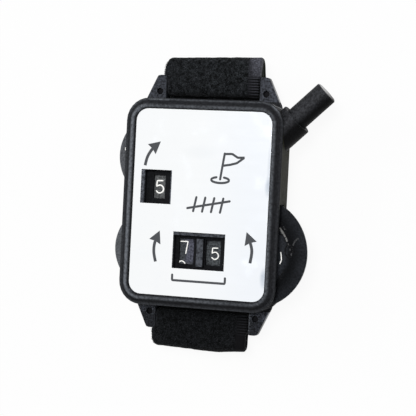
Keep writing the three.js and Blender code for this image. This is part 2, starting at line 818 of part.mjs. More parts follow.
// The cam on the units wheel: its one notch lets the tens pawl drop in when a nine is shown
function carryCam(wheel) {
  const notchAngle = rodAngle + Math.PI / 2 - (carryDigit - shownUnits) * stepAngle;
  const notch = atAngle(wheel, camRadius, notchAngle);
  const body = drum(camRadius, pusherLow, pusherTop, wheel.x, wheel.y, roundSides);
  return cut(
    body, drum(camNotchRadius, pusherLow - overrun, pusherTop + overrun, notch.x, notch.y),
    squareHub(wheel.x, wheel.y, hubSide + 2 * fitGap, pusherLow - overrun, pusherTop + overrun),
  );
}

const axlePin = ({ x, y }) => drum(axleRadius, axleLow, axleTop, x, y);

// Fasteners and bars
function caseScrew([x, y]) {
  const headTop = caseBack + screwHeadHeight;
  const body = drum(screwHeadRadius, caseBack + fitGap, headTop, x, y)
    .add(drum(screwShankRadius, headTop - fitGap, lugTop - screwTipDrop, x, y));
  const half = [crossLength / 2, crossWidth / 2];
  const crossTop = caseBack + fitGap + crossDepth;
  return cut(
    body,
    block(x - half[0], x + half[0], y - half[1], y + half[1], caseBack - overrun, crossTop),
    block(x - half[1], x + half[1], y - half[0], y + half[0], caseBack - overrun, crossTop),
  );
}

function strapBar(side) {
  const geometry = new THREE.CylinderGeometry(barRadius, barRadius, 2 * barHalfLength, smallSides);
  geometry.rotateZ(Math.PI / 2);
  geometry.translate(0, side * barY, splitHeight);
  return geometry;
}

// Strap: the centre line of its folds, seen from the side as [Y, height, corner radius]
function foldCorners(side, pastBar, tailHeight, slopeStart) {
  const reach = barY + pastBar;
  const foldY = reach - strapThickness / 2;
  const foldHigh = frontRunHeight - foldRunDrop;
  const foldLow = foldHigh - 2 * foldRadius;
  const underBar = splitHeight - barRadius - layerGap - strapThickness / 2;
  const slotY = caseHalfY + slotMiddle;
  return [
    [side * (barY - slopeStart), tailHeight, slopeRadius],
    [side * (barY + barRadius), underBar, slopeRadius],
    [side * (reach - foldRunLength), foldLow, slopeRadius],
    [side * foldY, foldLow, foldRadius],
    [side * foldY, foldHigh, foldRadius],
    [side * (reach - foldRunLength), foldHigh, slopeRadius],
    [side * slotY, frontRunHeight, crestRadius],
    [side * slotY, innerRunHeight, riseRadius],
  ];
}

function strapRoute() {
  return roundRoute([
    [-upperTailReach, upperTailHeight, 0],
    ...foldCorners(1, topFoldPastBar, upperTailHeight, upperSlopeStart),
    ...foldCorners(-1, bottomFoldPastBar, lowerTailHeight, lowerSlopeStart).reverse(),
    [lowerTailReach, lowerTailHeight, 0],
  ]);
}

// Moves a side view drawn in Y and height to its place, with the given width along X
function fromSideView(shape, width) {
  const geometry = new THREE.ExtrudeGeometry(shape, { depth: width, bevelEnabled: false });
  geometry.translate(0, 0, -width / 2);
  geometry.rotateY(Math.PI / 2);
  geometry.rotateX(Math.PI / 2);
  return geometry;
}

const strapBand = () => fromSideView(bandShape(strapRoute(), strapThickness), strapWidth);

function hookPatch() {
  const end = lowerTailReach - patchEndInset;
  const shape = rectangle(end - patchLength, end, patchLow, patchLow + patchThickness);
  return fromSideView(shape, strapWidth - 2 * patchMargin);
}

// Push rod and sleeve
function plunger() {
  const profile = [
    [0, rodInnerEnd], [rodRadius - rodChamfer, rodInnerEnd], [rodRadius, rodInnerEnd + rodChamfer],
    [rodRadius, rodTip - rodChamfer], [rodRadius - rodChamfer, rodTip], [0, rodTip],
  ].map(([out, place]) => new THREE.Vector2(out, place));
  const turned = new THREE.LatheGeometry(profile, roundSides);
  turned.rotateZ(-Math.PI / 2);
  turned.translate(0, 0, rodHeight);
  const flatTop = pusherTop + fitGap;
  const flatEnd = pusherEnd + fitGap;
  const flat = new THREE.BoxGeometry(
    flatEnd - rodInnerEnd + overrun, 2 * rodRadius + overrun, flatTop - pusherLow + overrun,
  );
  flat.translate((flatEnd + rodInnerEnd - overrun) / 2, 0, (flatTop + pusherLow - overrun) / 2);
  const spigot = springDrum(spigotRadius, rodInnerEnd - spigotLength, rodInnerEnd + overrun);
  const body = cut(fromRodFrame(turned), fromRodFrame(flat)).add(fromRodFrame(spigot));
  const pegs = pegPlaces.map((place) => (
    rodUpright(pegRadius, place, 0, pusherLow + fitGap, flatTop + fitGap)
  ));
  return join(body, ...pegs);
}

// An upright round form at a place given in the push rod's frame
function rodUpright(radius, along, across, low, high) {
  const geometry = new THREE.CylinderGeometry(radius, radius, high - low, smallSides);
  geometry.rotateX(Math.PI / 2);
  geometry.translate(along, across, (low + high) / 2);
  return fromRodFrame(geometry);
}

function plungerSleeve() {
  const bore = rodRadius + sleeveBoreGap;
  const profile = [
    [bore, sleeveSeat + fitGap], [sleeveRadius, sleeveSeat + fitGap],
    [sleeveRadius, sleeveFace - sleeveLip], [sleeveRadius - sleeveLip, sleeveFace],
    [bore + sleeveLip, sleeveFace], [bore, sleeveFace - sleeveLip], [bore, sleeveSeat + fitGap],
  ].map(([out, place]) => new THREE.Vector2(out, place));
  const geometry = new THREE.LatheGeometry(profile, roundSides);
  geometry.rotateZ(-Math.PI / 2);
  geometry.translate(0, 0, rodHeight);
  return fromRodFrame(geometry);
}

// The plate under the rod that carries the pawls, outlined in the push rod's frame
function pusherPlate() {
  const armEnd = pusherStart + pusherArmWidth;
  const wing = pusherEnd - pusherWingLength;
  const shape = new THREE.Shape([
    [pusherStart, pusherUnitsReach], [armEnd, pusherUnitsReach], [armEnd, -pusherSpineHalfWidth],
    [wing, -pusherSpineHalfWidth], [wing, -pusherWingHalfWidth], [pusherEnd, -pusherWingHalfWidth],
    [pusherEnd, pusherWingHalfWidth], [wing, pusherWingHalfWidth], [wing, pusherSpineHalfWidth],
    [armEnd, pusherSpineHalfWidth], [armEnd, pusherHoleReach], [pusherStart, pusherHoleReach],
  ].map(([along, across]) => new THREE.Vector2(along, across)));
  const body = fromRodFrame(slabGeometry(shape, pusherLow, pusherTop));
  const low = pusherLow - overrun;
  const high = pusherTop + overrun;
  const pegHoles = pegPlaces.map((place) => rodUpright(pegRadius + fitGap, place, 0, low, high));
  const rivetHoles = wheelSet.map((wheel) => (
    rodUpright(rivetRadius + fitGap, pawlPivotPlace, pawlPivotAcross(wheel), low, high)
  ));
  return cut(body, ...pegHoles, ...rivetHoles);
}

// A pawl, drawn in the push rod's frame: a bar from its rivet to a beak at the ratchet's teeth
function pawlBody(wheel) {
  const { beak } = wheel;
  const tip = pawlTipAt(wheel);
  const pivot = pawlPivotAcross(wheel);
  const shape = new THREE.Shape([
    [tip.x, tip.y], [tip.x, tip.y - beak * pawlTipWidth],
    [pawlPivotPlace, pivot - beak * pawlWidth / 2], [pawlPivotPlace, pivot + beak * pawlWidth / 2],
    [tip.x + pawlBeakLength, tip.y - beak * pawlBeakRise], [tip.x + pawlEdge, tip.y],
  ].map(([along, across]) => new THREE.Vector2(along, across)));
  const bar = fromRodFrame(slabGeometry(shape, pawlLow, pawlTop));
  return bar.add(rodUpright(pawlBossRadius, pawlPivotPlace, pivot, pawlLow, pawlTop));
}

const pawlHole = (wheel) => rodUpright(
  rivetRadius + fitGap, pawlPivotPlace, pawlPivotAcross(wheel), pawlLow - overrun, pawlTop + overrun,
);

const pawl = (wheel) => cut(pawlBody(wheel), pawlHole(wheel));

// Where the tens pawl's follower rests against the carry cam's rim
function followerPlace() {
  const center = inRodFrame(unitsWheel);
  return center.add(new THREE.Vector2(0, camRadius + runGap + followerRadius));
}

// The tens pawl has an ear that carries the follower pin
function tensPawl() {
  const follower = followerPlace();
  const left = follower.x - followerEarHalfWidth;
  const right = follower.x + followerEarHalfWidth;
  const outline = rectangle(left, right, follower.y, pawlPivotAcross(tensWheel));
  const ear = fromRodFrame(slabGeometry(outline, pawlLow, pawlTop));
  const round = rodUpright(followerEarHalfWidth, follower.x, follower.y, pawlLow, pawlTop);
  const hole = rodUpright(
    followerShankRadius + fitGap, follower.x, follower.y, pawlLow - overrun, pawlTop + overrun,
  );
  return cut(join(pawlBody(tensWheel), ear, round), pawlHole(tensWheel), hole);
}

function followerPin() {
  const { x, y } = followerPlace();
  const foot = rodUpright(followerRadius, x, y, pusherLow + fitGap, pusherTop);
  return foot.add(rodUpright(followerShankRadius, x, y, pusherTop - fitGap, pawlTop));
}

function pawlRivet(wheel) {
  const across = pawlPivotAcross(wheel);
  const headTop = pusherLow - fitGap;
  const head = rodUpright(rivetHeadRadius, pawlPivotPlace, across, headTop - rivetHeadHeight, headTop);
  return head.add(rodUpright(rivetRadius, pawlPivotPlace, across, headTop - fitGap, pawlTop));
}

// Return spring of the push rod
class SpringLine extends THREE.Curve {
  getPoint(share, target = new THREE.Vector3()) {
    const start = abutmentPlace + fitGap + springWire / 2;
    const end = rodInnerEnd - fitGap - springWire / 2;
    const eased = share - springEase * Math.sin(2 * Math.PI * share) / (2 * Math.PI);
    const angle = 2 * Math.PI * springTurns * share;
    const across = springRadius * Math.cos(angle);
    const up = springRadius * Math.sin(angle);
    return target.set(start + (end - start) * eased, across, springAxis + up);
  }
}

function returnSpring() {
  const ring = new THREE.Shape();
  ring.absarc(0, 0, springWire / 2, 0, 2 * Math.PI);
  const section = new THREE.Shape(ring.getSpacedPoints(springWireSides).slice(0, springWireSides));
  const geometry = new THREE.ExtrudeGeometry(section, {
    extrudePath: new SpringLine(), steps: springTurns * springSteps, bevelEnabled: false,
  });
  return fromRodFrame(geometry);
}

function wheelPieces() {
  return wheelSet.flatMap((wheel) => [
    piece(`${wheel.name}_wheel`, darkPlastic(), wheelDisc(wheel)),
    piece(`${wheel.name}_ratchet`, darkPlastic(), ratchetWheel(wheel)),
    piece(`${wheel.name}_axle`, steel(), axlePin(wheel)),
    piece(`${wheel.name}_click_spring`, steel(), clickSpring(wheel)),
    piece(`${wheel.name}_pawl`, steel(), wheel === tensWheel ? tensPawl() : pawl(wheel)),
    piece(`${wheel.name}_pawl_rivet`, brass(), pawlRivet(wheel)),
  ]);
}

const counter = new THREE.Group();
counter.name = 'stroke_counter';
counter.add(
  piece('front_case', casePlastic(), frontCase()),
  piece('face_plate', mirrorSheet(), facePlate()),
  piece('back_cover', casePlastic(), backCover()),
  piece('plunger_sleeve', darkPlastic(), plungerSleeve()),
  ...wheelPieces(),
  piece('units_carry_cam', darkPlastic(), carryCam(unitsWheel)),
  piece('carry_follower_pin', steel(), followerPin()),
  piece('plunger', darkPlastic(), plunger()),
  piece('pusher_plate', steel(), pusherPlate()),
  piece('return_spring', steel(), returnSpring()),
  ...screwPlaces.map((place, index) => piece(`case_screw_${index + 1}`, steel(), caseScrew(place))),
  piece('strap_bar_top', steel(), strapBar(1)),
  piece('strap_bar_bottom', steel(), strapBar(-1)),
  piece('strap_band', tape(), strapBand()),
  piece('hook_patch', tape(), hookPatch()),
);

export default counter;
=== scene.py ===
"""A stroke counter with thumb-turned figure wheels, lying face up on its folded strap."""
import math
import random

import bpy
from mathutils import Matrix, Vector, noise


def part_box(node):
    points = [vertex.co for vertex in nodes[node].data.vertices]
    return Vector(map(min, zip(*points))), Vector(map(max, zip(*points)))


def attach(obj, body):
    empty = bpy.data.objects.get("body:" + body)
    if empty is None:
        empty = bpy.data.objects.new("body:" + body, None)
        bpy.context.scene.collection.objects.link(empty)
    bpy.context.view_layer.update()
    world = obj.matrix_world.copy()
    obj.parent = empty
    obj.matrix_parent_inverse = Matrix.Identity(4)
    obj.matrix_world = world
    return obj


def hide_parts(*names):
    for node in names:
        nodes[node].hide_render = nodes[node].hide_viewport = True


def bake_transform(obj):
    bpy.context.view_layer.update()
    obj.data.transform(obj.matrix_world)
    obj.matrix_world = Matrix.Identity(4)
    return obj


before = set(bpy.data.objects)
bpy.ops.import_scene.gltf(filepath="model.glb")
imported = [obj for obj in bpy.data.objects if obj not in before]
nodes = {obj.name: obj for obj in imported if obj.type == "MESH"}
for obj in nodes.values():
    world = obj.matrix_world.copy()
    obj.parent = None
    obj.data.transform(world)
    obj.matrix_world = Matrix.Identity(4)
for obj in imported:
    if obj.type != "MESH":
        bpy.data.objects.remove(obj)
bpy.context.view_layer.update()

MM = 0.001
IMAGE_SIZE = 416

# Sizes in millimetres, as in the solids; the rod's end lies ROD_TIP along ROD_AHEAD
PLATE_TOP = 16.7
PLATE_HALF_X = 18.2
PLATE_HALF_Y = 24.1
PLATE_ROUND = 3.2
ROD_TIP = 42.91
ROD_AHEAD = (0.7254, 0.6884)
WHEEL_TOP = 13.0
HOLE_WHEEL = (-12.0, 11.8)
TENS_WHEEL = (-12.85, -12.4)
UNITS_WHEEL = (13.5, -11.75)

# Where finishes change, in millimetres: at the lugs, up the wells and walls, at the woven edge
LUG_START = 27.0
WELL_TOP = 15.6
WALL_TOP = 16.4
SELVEDGE_START = 9.6

# Pitches in millimetres: the wheels' turned rings, the tape's ribs and threads
TURNING_PITCH = 0.42
RIB_PITCH = 0.7
THREAD_PITCH = 0.4


def add_object(name, data):
    """Puts an object into the scene."""
    made = bpy.data.objects.new(name, data)
    bpy.context.scene.collection.objects.link(made)
    return made


# Camera: fitted to the outline of the face plate

CAMERA_AWAY = 350
PIXELS_PER_MM = 3.8964
MIDDLE_SHIFT = (8.59, -3.96)
SENSOR_WIDTH = 36


def place_camera():
    across = math.radians(17.156)
    up_tilt = math.radians(1.126)
    roll = math.radians(2.854)
    distance = CAMERA_AWAY * MM
    level = math.cos(up_tilt)
    back = Vector((math.sin(across) * level, math.sin(up_tilt), math.cos(across) * level))
    right = Vector((0, 1, 0)).cross(back).normalized()
    up = back.cross(right)
    turned_right = math.cos(roll) * right + math.sin(roll) * up
    turned_up = math.cos(roll) * up - math.sin(roll) * right
    camera_data = bpy.data.cameras.new("camera")
    camera_data.sensor_width = SENSOR_WIDTH
    camera_data.lens = SENSOR_WIDTH * PIXELS_PER_MM * CAMERA_AWAY / IMAGE_SIZE
    camera_data.shift_x = MIDDLE_SHIFT[0] / IMAGE_SIZE
    camera_data.shift_y = MIDDLE_SHIFT[1] / IMAGE_SIZE
    camera_data.clip_start = 0.01
    camera = add_object("camera", camera_data)
    camera.matrix_world = Matrix((
        (turned_right.x, turned_up.x, back.x, back.x * distance),
        (turned_right.y, turned_up.y, back.y, back.y * distance),
        (turned_right.z, turned_up.z, back.z, back.z * distance + PLATE_TOP * MM),
        (0, 0, 0, 1),
    ))
    bpy.context.scene.camera = camera


place_camera()


# Shader maths

class Value:
    """A number or vector in a finish's node tree; arithmetic on it adds Math nodes."""

    def __init__(self, finish, socket):
        self.finish = finish
        self.socket = socket

    def _maths(self, operation, *numbers):
        return self.finish.node("Math", {"operation": operation}, dict(enumerate(numbers)))

    def __add__(self, other):
        return self._maths("ADD", self, other)

    def __radd__(self, other):
        return self._maths("ADD", other, self)

    def __sub__(self, other):
        return self._maths("SUBTRACT", self, other)

    def __rsub__(self, other):
        return self._maths("SUBTRACT", other, self)

    def __mul__(self, other):
        return self._maths("MULTIPLY", self, other)

    def __rmul__(self, other):
        return self._maths("MULTIPLY", other, self)

    def __truediv__(self, other):
        return self._maths("DIVIDE", self, other)

    def __pow__(self, other):
        return self._maths("POWER", self, other)

    def __neg__(self):
        return self._maths("MULTIPLY", self, -1.0)

    def __abs__(self):
        return self._maths("ABSOLUTE", self)

    def wave(self):
        return self._maths("SINE", self)

    def at_least(self, other):
        return self._maths("MAXIMUM", self, other)

    def at_most(self, other):
        return self._maths("MINIMUM", self, other)

    def step(self, low, high):
        """Rises smoothly from 0 at low to 1 at high."""
        return self.finish.node("MapRange", {"interpolation_type": "SMOOTHSTEP"}, {
            "Value": self, "From Min": low, "From Max": high,
        })


class Finish:
    """The node tree of a new material, or of a world, that is built up by calls."""

    def __init__(self, name, world=None):
        self.material = world or bpy.data.materials.new(name)
        self.material.use_nodes = True
        self.tree = self.material.node_tree
        self.tree.nodes.clear()
        self.places = self.node("TexCoord", output="Object")

    def node(self, kind, settings=None, inputs=None, output=0):
        """Adds one node: its settings first, then the values or links of its sockets."""
        made = self.tree.nodes.new("ShaderNode" + kind)
        for key, setting in (settings or {}).items():
            setattr(made, key, setting)
        for key, value in (inputs or {}).items():
            socket = made.inputs[key]
            if isinstance(value, Value):
                self.tree.links.new(value.socket, socket)
            elif socket.type == "RGBA":
                socket.default_value = (*value, 1.0)
            else:
                socket.default_value = value
        return Value(self, made.outputs[output])

    def scaled(self, x, y, z):
        """The place of a spot, stretched along each axis."""
        return self.node("VectorMath", {"operation": "MULTIPLY"}, {0: self.places, 1: (x, y, z)}, "Vector")

    def axis(self, letter):
        """Where a spot lies along one axis, in millimetres."""
        return self.node("SeparateXYZ", None, {"Vector": self.places}, letter) / MM

    def distance_to(self, middle, places=None):
        """How far a spot lies from a middle, both in millimetres."""
        return self.node("VectorMath", {"operation": "DISTANCE"}, {
            0: places or self.places, 1: tuple(part * MM for part in middle),
        }, "Value") / MM

    def noise(self, per_mm, detail, roughness=0.5, stretch=(1, 1, 1), distortion=0.0):
        """Fractal noise from 0 to 1, with so many lumps to the millimetre."""
        scale = per_mm / MM
        place = self.scaled(*(scale * share for share in stretch))
        return self.node("TexNoise", None, {
            "Vector": place, "Scale": 1.0,
            "Detail": detail, "Roughness": roughness, "Distortion": distortion,
        }, "Fac")

    def blend(self, share, first, second):
        """The first colour, with a share of the second mixed in."""
        return self.node("Mix", {"data_type": "RGBA"}, {0: share, 6: first, 7: second}, 2)

    def tint(self, colour, factor):
        """A colour made lighter or darker by a factor that varies over the surface."""
        return self.node("VectorMath", {"operation": "SCALE"}, {0: colour, "Scale": factor}, "Vector")

    def bump(self, height, depth, base=None):
        """Relief of a depth in millimetres, on top of a base normal if one is given."""
        inputs = {"Height": height, "Distance": depth * MM}
        if base is not None:
            inputs["Normal"] = base
        return self.node("Bump", None, inputs, "Normal")

    def soft_edges(self, radius):
        """A normal that rounds the edges by a radius in millimetres."""
        return self.node("Bevel", {"samples": 6}, {"Radius": radius * MM}, "Normal")

    def edge_mask(self, rounded, low=0.02, high=0.22):
        """Is 1 along worn edges, where the rounded normal leaves the true one."""
        flat = self.node("NewGeometry", output="Normal")
        agree = self.node("VectorMath", {"operation": "DOT_PRODUCT"}, {0: rounded, 1: flat}, "Value")
        return (1.0 - agree).step(low, high)

    def surface(self, inputs):
        """Ends the material with a shader that takes these values or links."""
        self.finish_with(self.node("BsdfPrincipled", None, inputs, "BSDF"))
        return self.material

    def finish_with(self, shader):
        for_world = isinstance(self.material, bpy.types.World)
        output = self.tree.nodes.new("ShaderNodeOutputWorld" if for_world else "ShaderNodeOutputMaterial")
        self.tree.links.new(shader.socket, output.inputs["Surface"])


def srgb(red, green, blue):
    """A colour given as it looks on a screen, 0 to 255, as the numbers that shaders take."""
    parts = []
    for value in (red, green, blue):
        share = value / 255
        parts.append(share / 12.92 if share <= 0.04045 else ((share + 0.055) / 1.055) ** 2.4)
    return tuple(parts)


# Finishes

# Faint smears on the face sheet: middle x and y, half width, half height, strength
SHEET_SMEARS = [
    (17.9, 5.2, 1.1, 3.4, 0.6),
    (17.9, -18.0, 1.3, 3.4, 0.75),
    (17.9, 10.5, 0.6, 7, 0.3),
    (-0.5, 13.2, 6, 2.6, 0.07),
]
SHINY_CORNER = (19.9, 25.9, PLATE_TOP)


def hump(value, middle, reach):
    """Is 1 where a value is at the middle and falls to 0 within its reach."""
    return 1.0 - abs(value - middle).step(0.0, reach)


def past_plate_edge(finish):
    """How far outside the face plate's outline a spot lies, in millimetres."""
    out_x = (abs(finish.axis("X")) - (PLATE_HALF_X - PLATE_ROUND)).at_least(0.0)
    out_y = (abs(finish.axis("Y")) - (PLATE_HALF_Y - PLATE_ROUND)).at_least(0.0)
    return (out_x * out_x + out_y * out_y) ** 0.5 - PLATE_ROUND


def under_plate(finish):
    """Is 1 on what shows through the face plate's windows."""
    past_x = abs(finish.axis("X")).step(PLATE_HALF_X - 0.4, PLATE_HALF_X - 0.2)
    past_y = abs(finish.axis("Y")).step(PLATE_HALF_Y - 0.4, PLATE_HALF_Y - 0.2)
    return (1.0 - past_x) * (1.0 - past_y)


def coarse_grain(finish):
    """The pits of the moulding grain, with strong contrast."""
    return finish.noise(1.5, detail=4, roughness=0.7).step(0.36, 0.64)


def moulded_plastic(name, colour, worn_colour, dullness=0.4, grain_depth=0.012):
    """Spark-grained black plastic whose edges are slightly rounded and rubbed lighter."""
    finish = Finish(name)
    grain = coarse_grain(finish)
    cloud = finish.noise(0.3, detail=3)
    rounded = finish.soft_edges(0.14)
    rubbed = finish.edge_mask(rounded) * finish.noise(1.6, detail=3).step(0.34, 0.62)
    unworn = finish.tint(colour, 0.55 + 0.3 * cloud + 0.6 * grain)
    return finish.surface({
        "Base Color": finish.blend(0.5 * rubbed, unworn, worn_colour),
        "Roughness": dullness + 0.16 * (cloud - 0.5) - 0.08 * rubbed + 0.1 * grain,
        "Specular IOR Level": 0.06,
        "Normal": finish.bump(grain, grain_depth, rounded),
    })


def rod_plastic():
    """Smooth black plastic: painted shade down one side, a rubbed collar edge, an end polished by the
    thumb.
    """
    finish = Finish("push rod plastic")
    grain = coarse_grain(finish)
    cloud = finish.noise(0.35, detail=3)
    rounded = finish.soft_edges(0.12)
    rubbed = finish.edge_mask(rounded) * finish.noise(1.2, detail=3).step(0.3, 0.5)
    x = finish.axis("X")
    y = finish.axis("Y")
    at_end = (x * ROD_AHEAD[0] + y * ROD_AHEAD[1]).step(ROD_TIP - 0.12, ROD_TIP - 0.04)
    aside = y * ROD_AHEAD[0] - x * ROD_AHEAD[1]
    thumb_side = aside.step(-1.8, 2.2)
    # Painted light and shade across the rod, darker on the side away from the lamps
    painted_side_light = (0.1 + 1.2 * aside.step(-1.7, 0.8)) * (1.0 - 0.3 * aside.step(0.6, 2.8))
    unworn = finish.tint(srgb(45, 46, 49), (0.2 + 0.5 * cloud + 0.9 * grain) * painted_side_light)
    return finish.surface({
        "Base Color": finish.blend(0.8 * rubbed, unworn, srgb(120, 124, 130)),
        "Roughness": 0.42 + 0.16 * (cloud - 0.5) + 0.1 * grain,
        "Specular IOR Level": 0.05,
        "Coat Weight": at_end * (0.2 + 0.8 * thumb_side),
        "Coat Roughness": 0.22,
        "Normal": finish.bump(grain, 0.012, rounded),
    })


def case_plastic():
    """Grained black plastic with rubbed edges: painted highlights on the ridge, rim, a corner and a lug
    flank, lugs and ledges made paler by painted light, painted shade in the wells and beside the plate.
    """
    finish = Finish("case plastic")
    across = finish.axis("X")
    along = finish.axis("Y")
    height = finish.axis("Z")
    out = past_plate_edge(finish)
    grain = coarse_grain(finish)
    cloud = finish.noise(0.3, detail=3)
    rounded = finish.soft_edges(0.14)
    seen_inside = under_plate(finish)
    # The wells get painted shade in the base colour
    shaded_well = seen_inside * (1.0 - height.step(WELL_TOP - 0.15, WELL_TOP))
    ledge = seen_inside * height.step(WELL_TOP - 0.05, WELL_TOP)

    # Each is 1 near that side of the face
    side_band = (12.0, 19.0)
    end_band = (20.0, 26.0)
    to_left = (-across).step(*side_band)
    to_right = across.step(*side_band)
    to_top = along.step(*end_band)
    to_bottom = (-along).step(*end_band)
    upper = along.step(-2.0, 2.0)
    lower = 1.0 - upper

    # Painted highlights on the ridge next to the plate, the case's rim and one corner, stronger to the left
    # and top; the edges are rubbed lighter
    ridge_middle = 0.8 + 0.2 * to_left - 0.2 * to_right - 0.15 * to_top + 0.15 * to_bottom
    ridge_share = 0.5 + 0.5 * to_left - 0.1 * to_top - 0.14 * to_bottom * across.step(0.0, 10.0)
    inner_ridge = hump(out, ridge_middle, 0.8 - 0.15 * to_bottom) * ridge_share
    top_left_highlight = to_top * hump(across, -12.6, 4.5)
    rim_share = (0.16 + 0.3 * to_top - 0.1 * to_right + 0.03 * to_bottom + 0.5 * top_left_highlight).at_least(0.0)
    outer_rim = hump(out, 2.38 + 0.25 * to_bottom, 0.38) * rim_share
    near_corner = 1.0 - finish.distance_to(SHINY_CORNER).step(0.6, 3.4)
    corner_shine = 0.7 * near_corner * hump(out, 2.45, 0.7)
    ridge_highlights = (inner_ridge.at_least(outer_rim) + corner_shine) * height.step(PLATE_TOP - 0.4, PLATE_TOP)
    edges = finish.edge_mask(rounded) * finish.noise(1.6, detail=3).step(0.28, 0.5) * (1.0 - shaded_well)
    lug = abs(along).step(LUG_START, LUG_START + 0.2)
    # A painted highlight along the lower lugs' inner edges
    lug_edge_highlight = hump(across, 13.05, 0.3) * lug * lower
    lug_wear_and_highlight = (0.35 + 0.35 * lug) * edges + 0.8 * lug_edge_highlight * grain
    # Painted highlights, with the real wear on the edges
    worn = (ridge_highlights * (0.5 + 0.95 * grain) + lug_wear_and_highlight).at_most(1.0)

    # Walls and lugs; painted light makes the right and upper lugs lighter and lifts the lower lugs next to
    # the case
    side_wall = to_right * (1.0 - height.step(WELL_TOP, WALL_TOP))
    wall_colour = finish.blend(side_wall * upper * (1.0 - to_top), srgb(33, 34, 37), srgb(27, 27, 15))
    walls = finish.tint(wall_colour, 0.4 + 0.4 * cloud + 0.7 * grain)
    sparkle = finish.noise(3.0, detail=3, roughness=0.7).step(0.5, 0.64)
    lug_grain = grain + lower * (0.9 * sparkle - 0.45 * grain)
    lug_painted_light = 1.1 + 1.2 * to_right + (1.1 + 0.8 * to_right) * upper
    lug_painted_lift = 1.0 + 1.5 * lower * (1.0 - (-along).step(28.2, 30.2))
    lugs = finish.tint(srgb(40, 42, 47), (0.1 + 0.5 * upper + lug_painted_light * lug_grain) * lug_painted_lift)
    plain = finish.blend(worn, finish.blend(lug, walls, lugs), srgb(106, 110, 116))
    # Painted light on the ledges, stronger on the upper half, with a band of painted shade near y -7.4 mm
    ledge_painted_light = 1.0 + 0.45 * upper - 0.25 * hump(along, -7.4, 1.2)
    ledges = finish.blend(ledge, plain, finish.tint(srgb(72, 75, 81), (0.36 + grain) * ledge_painted_light))

    # A slanting painted highlight on the top right corner's wall, and the lug's flank next to it made pale
    # by a painted highlight
    corner_highlight_height = WALL_TOP - 2.6 * (across - along + 8.3)
    corner_highlight_reach = height.step(10.1, 10.6) * (1.0 - height.step(15.5, WALL_TOP))
    corner_highlight = hump(height - corner_highlight_height, 0.0, 1.3) * to_right * to_top * out.step(2.3, 2.5) * corner_highlight_reach
    corner_highlighted = finish.blend(0.8 * corner_highlight * (1.0 - lug), ledges, srgb(205, 208, 210))
    flank = lug * to_right * (1.0 - height.step(9.6, 9.9))
    flank_highlighted = finish.blend(0.6 * flank * to_top, corner_highlighted, srgb(140, 137, 134))

    # Painted shade in the wells, just outside the plate's edge and in the bottom channel between ridge and
    # rim
    gap_shade = hump(out, 0.12, 0.32)
    groove_shade = 0.4 * to_bottom * hump(out, 1.75, 0.75)
    wall_dullness = (0.5 - 0.4 * upper) * side_wall
    return finish.surface({
        "Base Color": finish.tint(flank_highlighted, 1.0 - 0.35 * shaded_well - 0.6 * gap_shade - groove_shade),
        "Roughness": 0.42 + 0.16 * (cloud - 0.5) + 0.1 * grain + 0.3 * shaded_well + wall_dullness,
        "Specular IOR Level": 0.06,
        "Coat Weight": flank,
        "Coat Roughness": 0.3,
        "Normal": finish.bump(grain, 0.02, rounded),
    })


def wheel_plastic(
    name, centre, colour, figure_ring, painted_light_spot, painted_light_colour,
    dark_ring=0.0, specular=0.08, painted_shade_share=0.0,
):
    """Satin plastic: faint turned rings, a rubbed band for the thumb, a painted pool of light round the
    shown figure.

    Painted shade can darken the patch towards the centre, and the wheel can have a dark ring with a painted
    sheen inside it.
    """
    finish = Finish(name)
    flat_places = finish.scaled(1, 1, 0)
    from_centre = finish.distance_to((*centre, 0), flat_places)
    rings = (from_centre * (2 * math.pi / TURNING_PITCH)).wave()
    smears = finish.noise(0.5, detail=4, roughness=0.62)
    specks = finish.noise(2.0, detail=4, roughness=0.7).step(0.35, 0.65)
    thumbed = from_centre.step(figure_ring, figure_ring + 2.2) * smears.step(0.35, 0.7)
    # A painted pool of light round the shown figure; painted shade can darken it towards the centre
    painted_light_patch = 1.0 - finish.distance_to((*painted_light_spot, 0), flat_places).step(2.6, 4.2)
    wiped = painted_shade_share * (1.0 - from_centre.step(figure_ring - 1.2, figure_ring + 0.2))
    painted_light_tone = finish.blend(wiped, painted_light_colour, srgb(69, 73, 77))
    shade = 0.3 + 0.5 * smears + 0.2 * thumbed + 0.7 * specks
    # A dark ring, with a painted sheen lightening the face inside it
    if dark_ring:
        inside = 1.0 - from_centre.step(dark_ring - 1.9, dark_ring)
        outside = from_centre.step(dark_ring, dark_ring + 3.6)
        shade = shade * (0.3 + 0.7 * outside + 1.5 * inside)
    patch = finish.tint(painted_light_tone, 0.2 + 0.4 * smears + 1.1 * specks)
    return finish.surface({
        "Base Color": finish.blend(painted_light_patch, finish.tint(colour, shade), patch),
        "Roughness": 0.45 + 0.16 * specks - 0.1 * thumbed,
        "Specular IOR Level": specular,
        "Normal": finish.bump(0.3 * rings + 0.9 * specks, 0.01, finish.soft_edges(0.1)),
    })


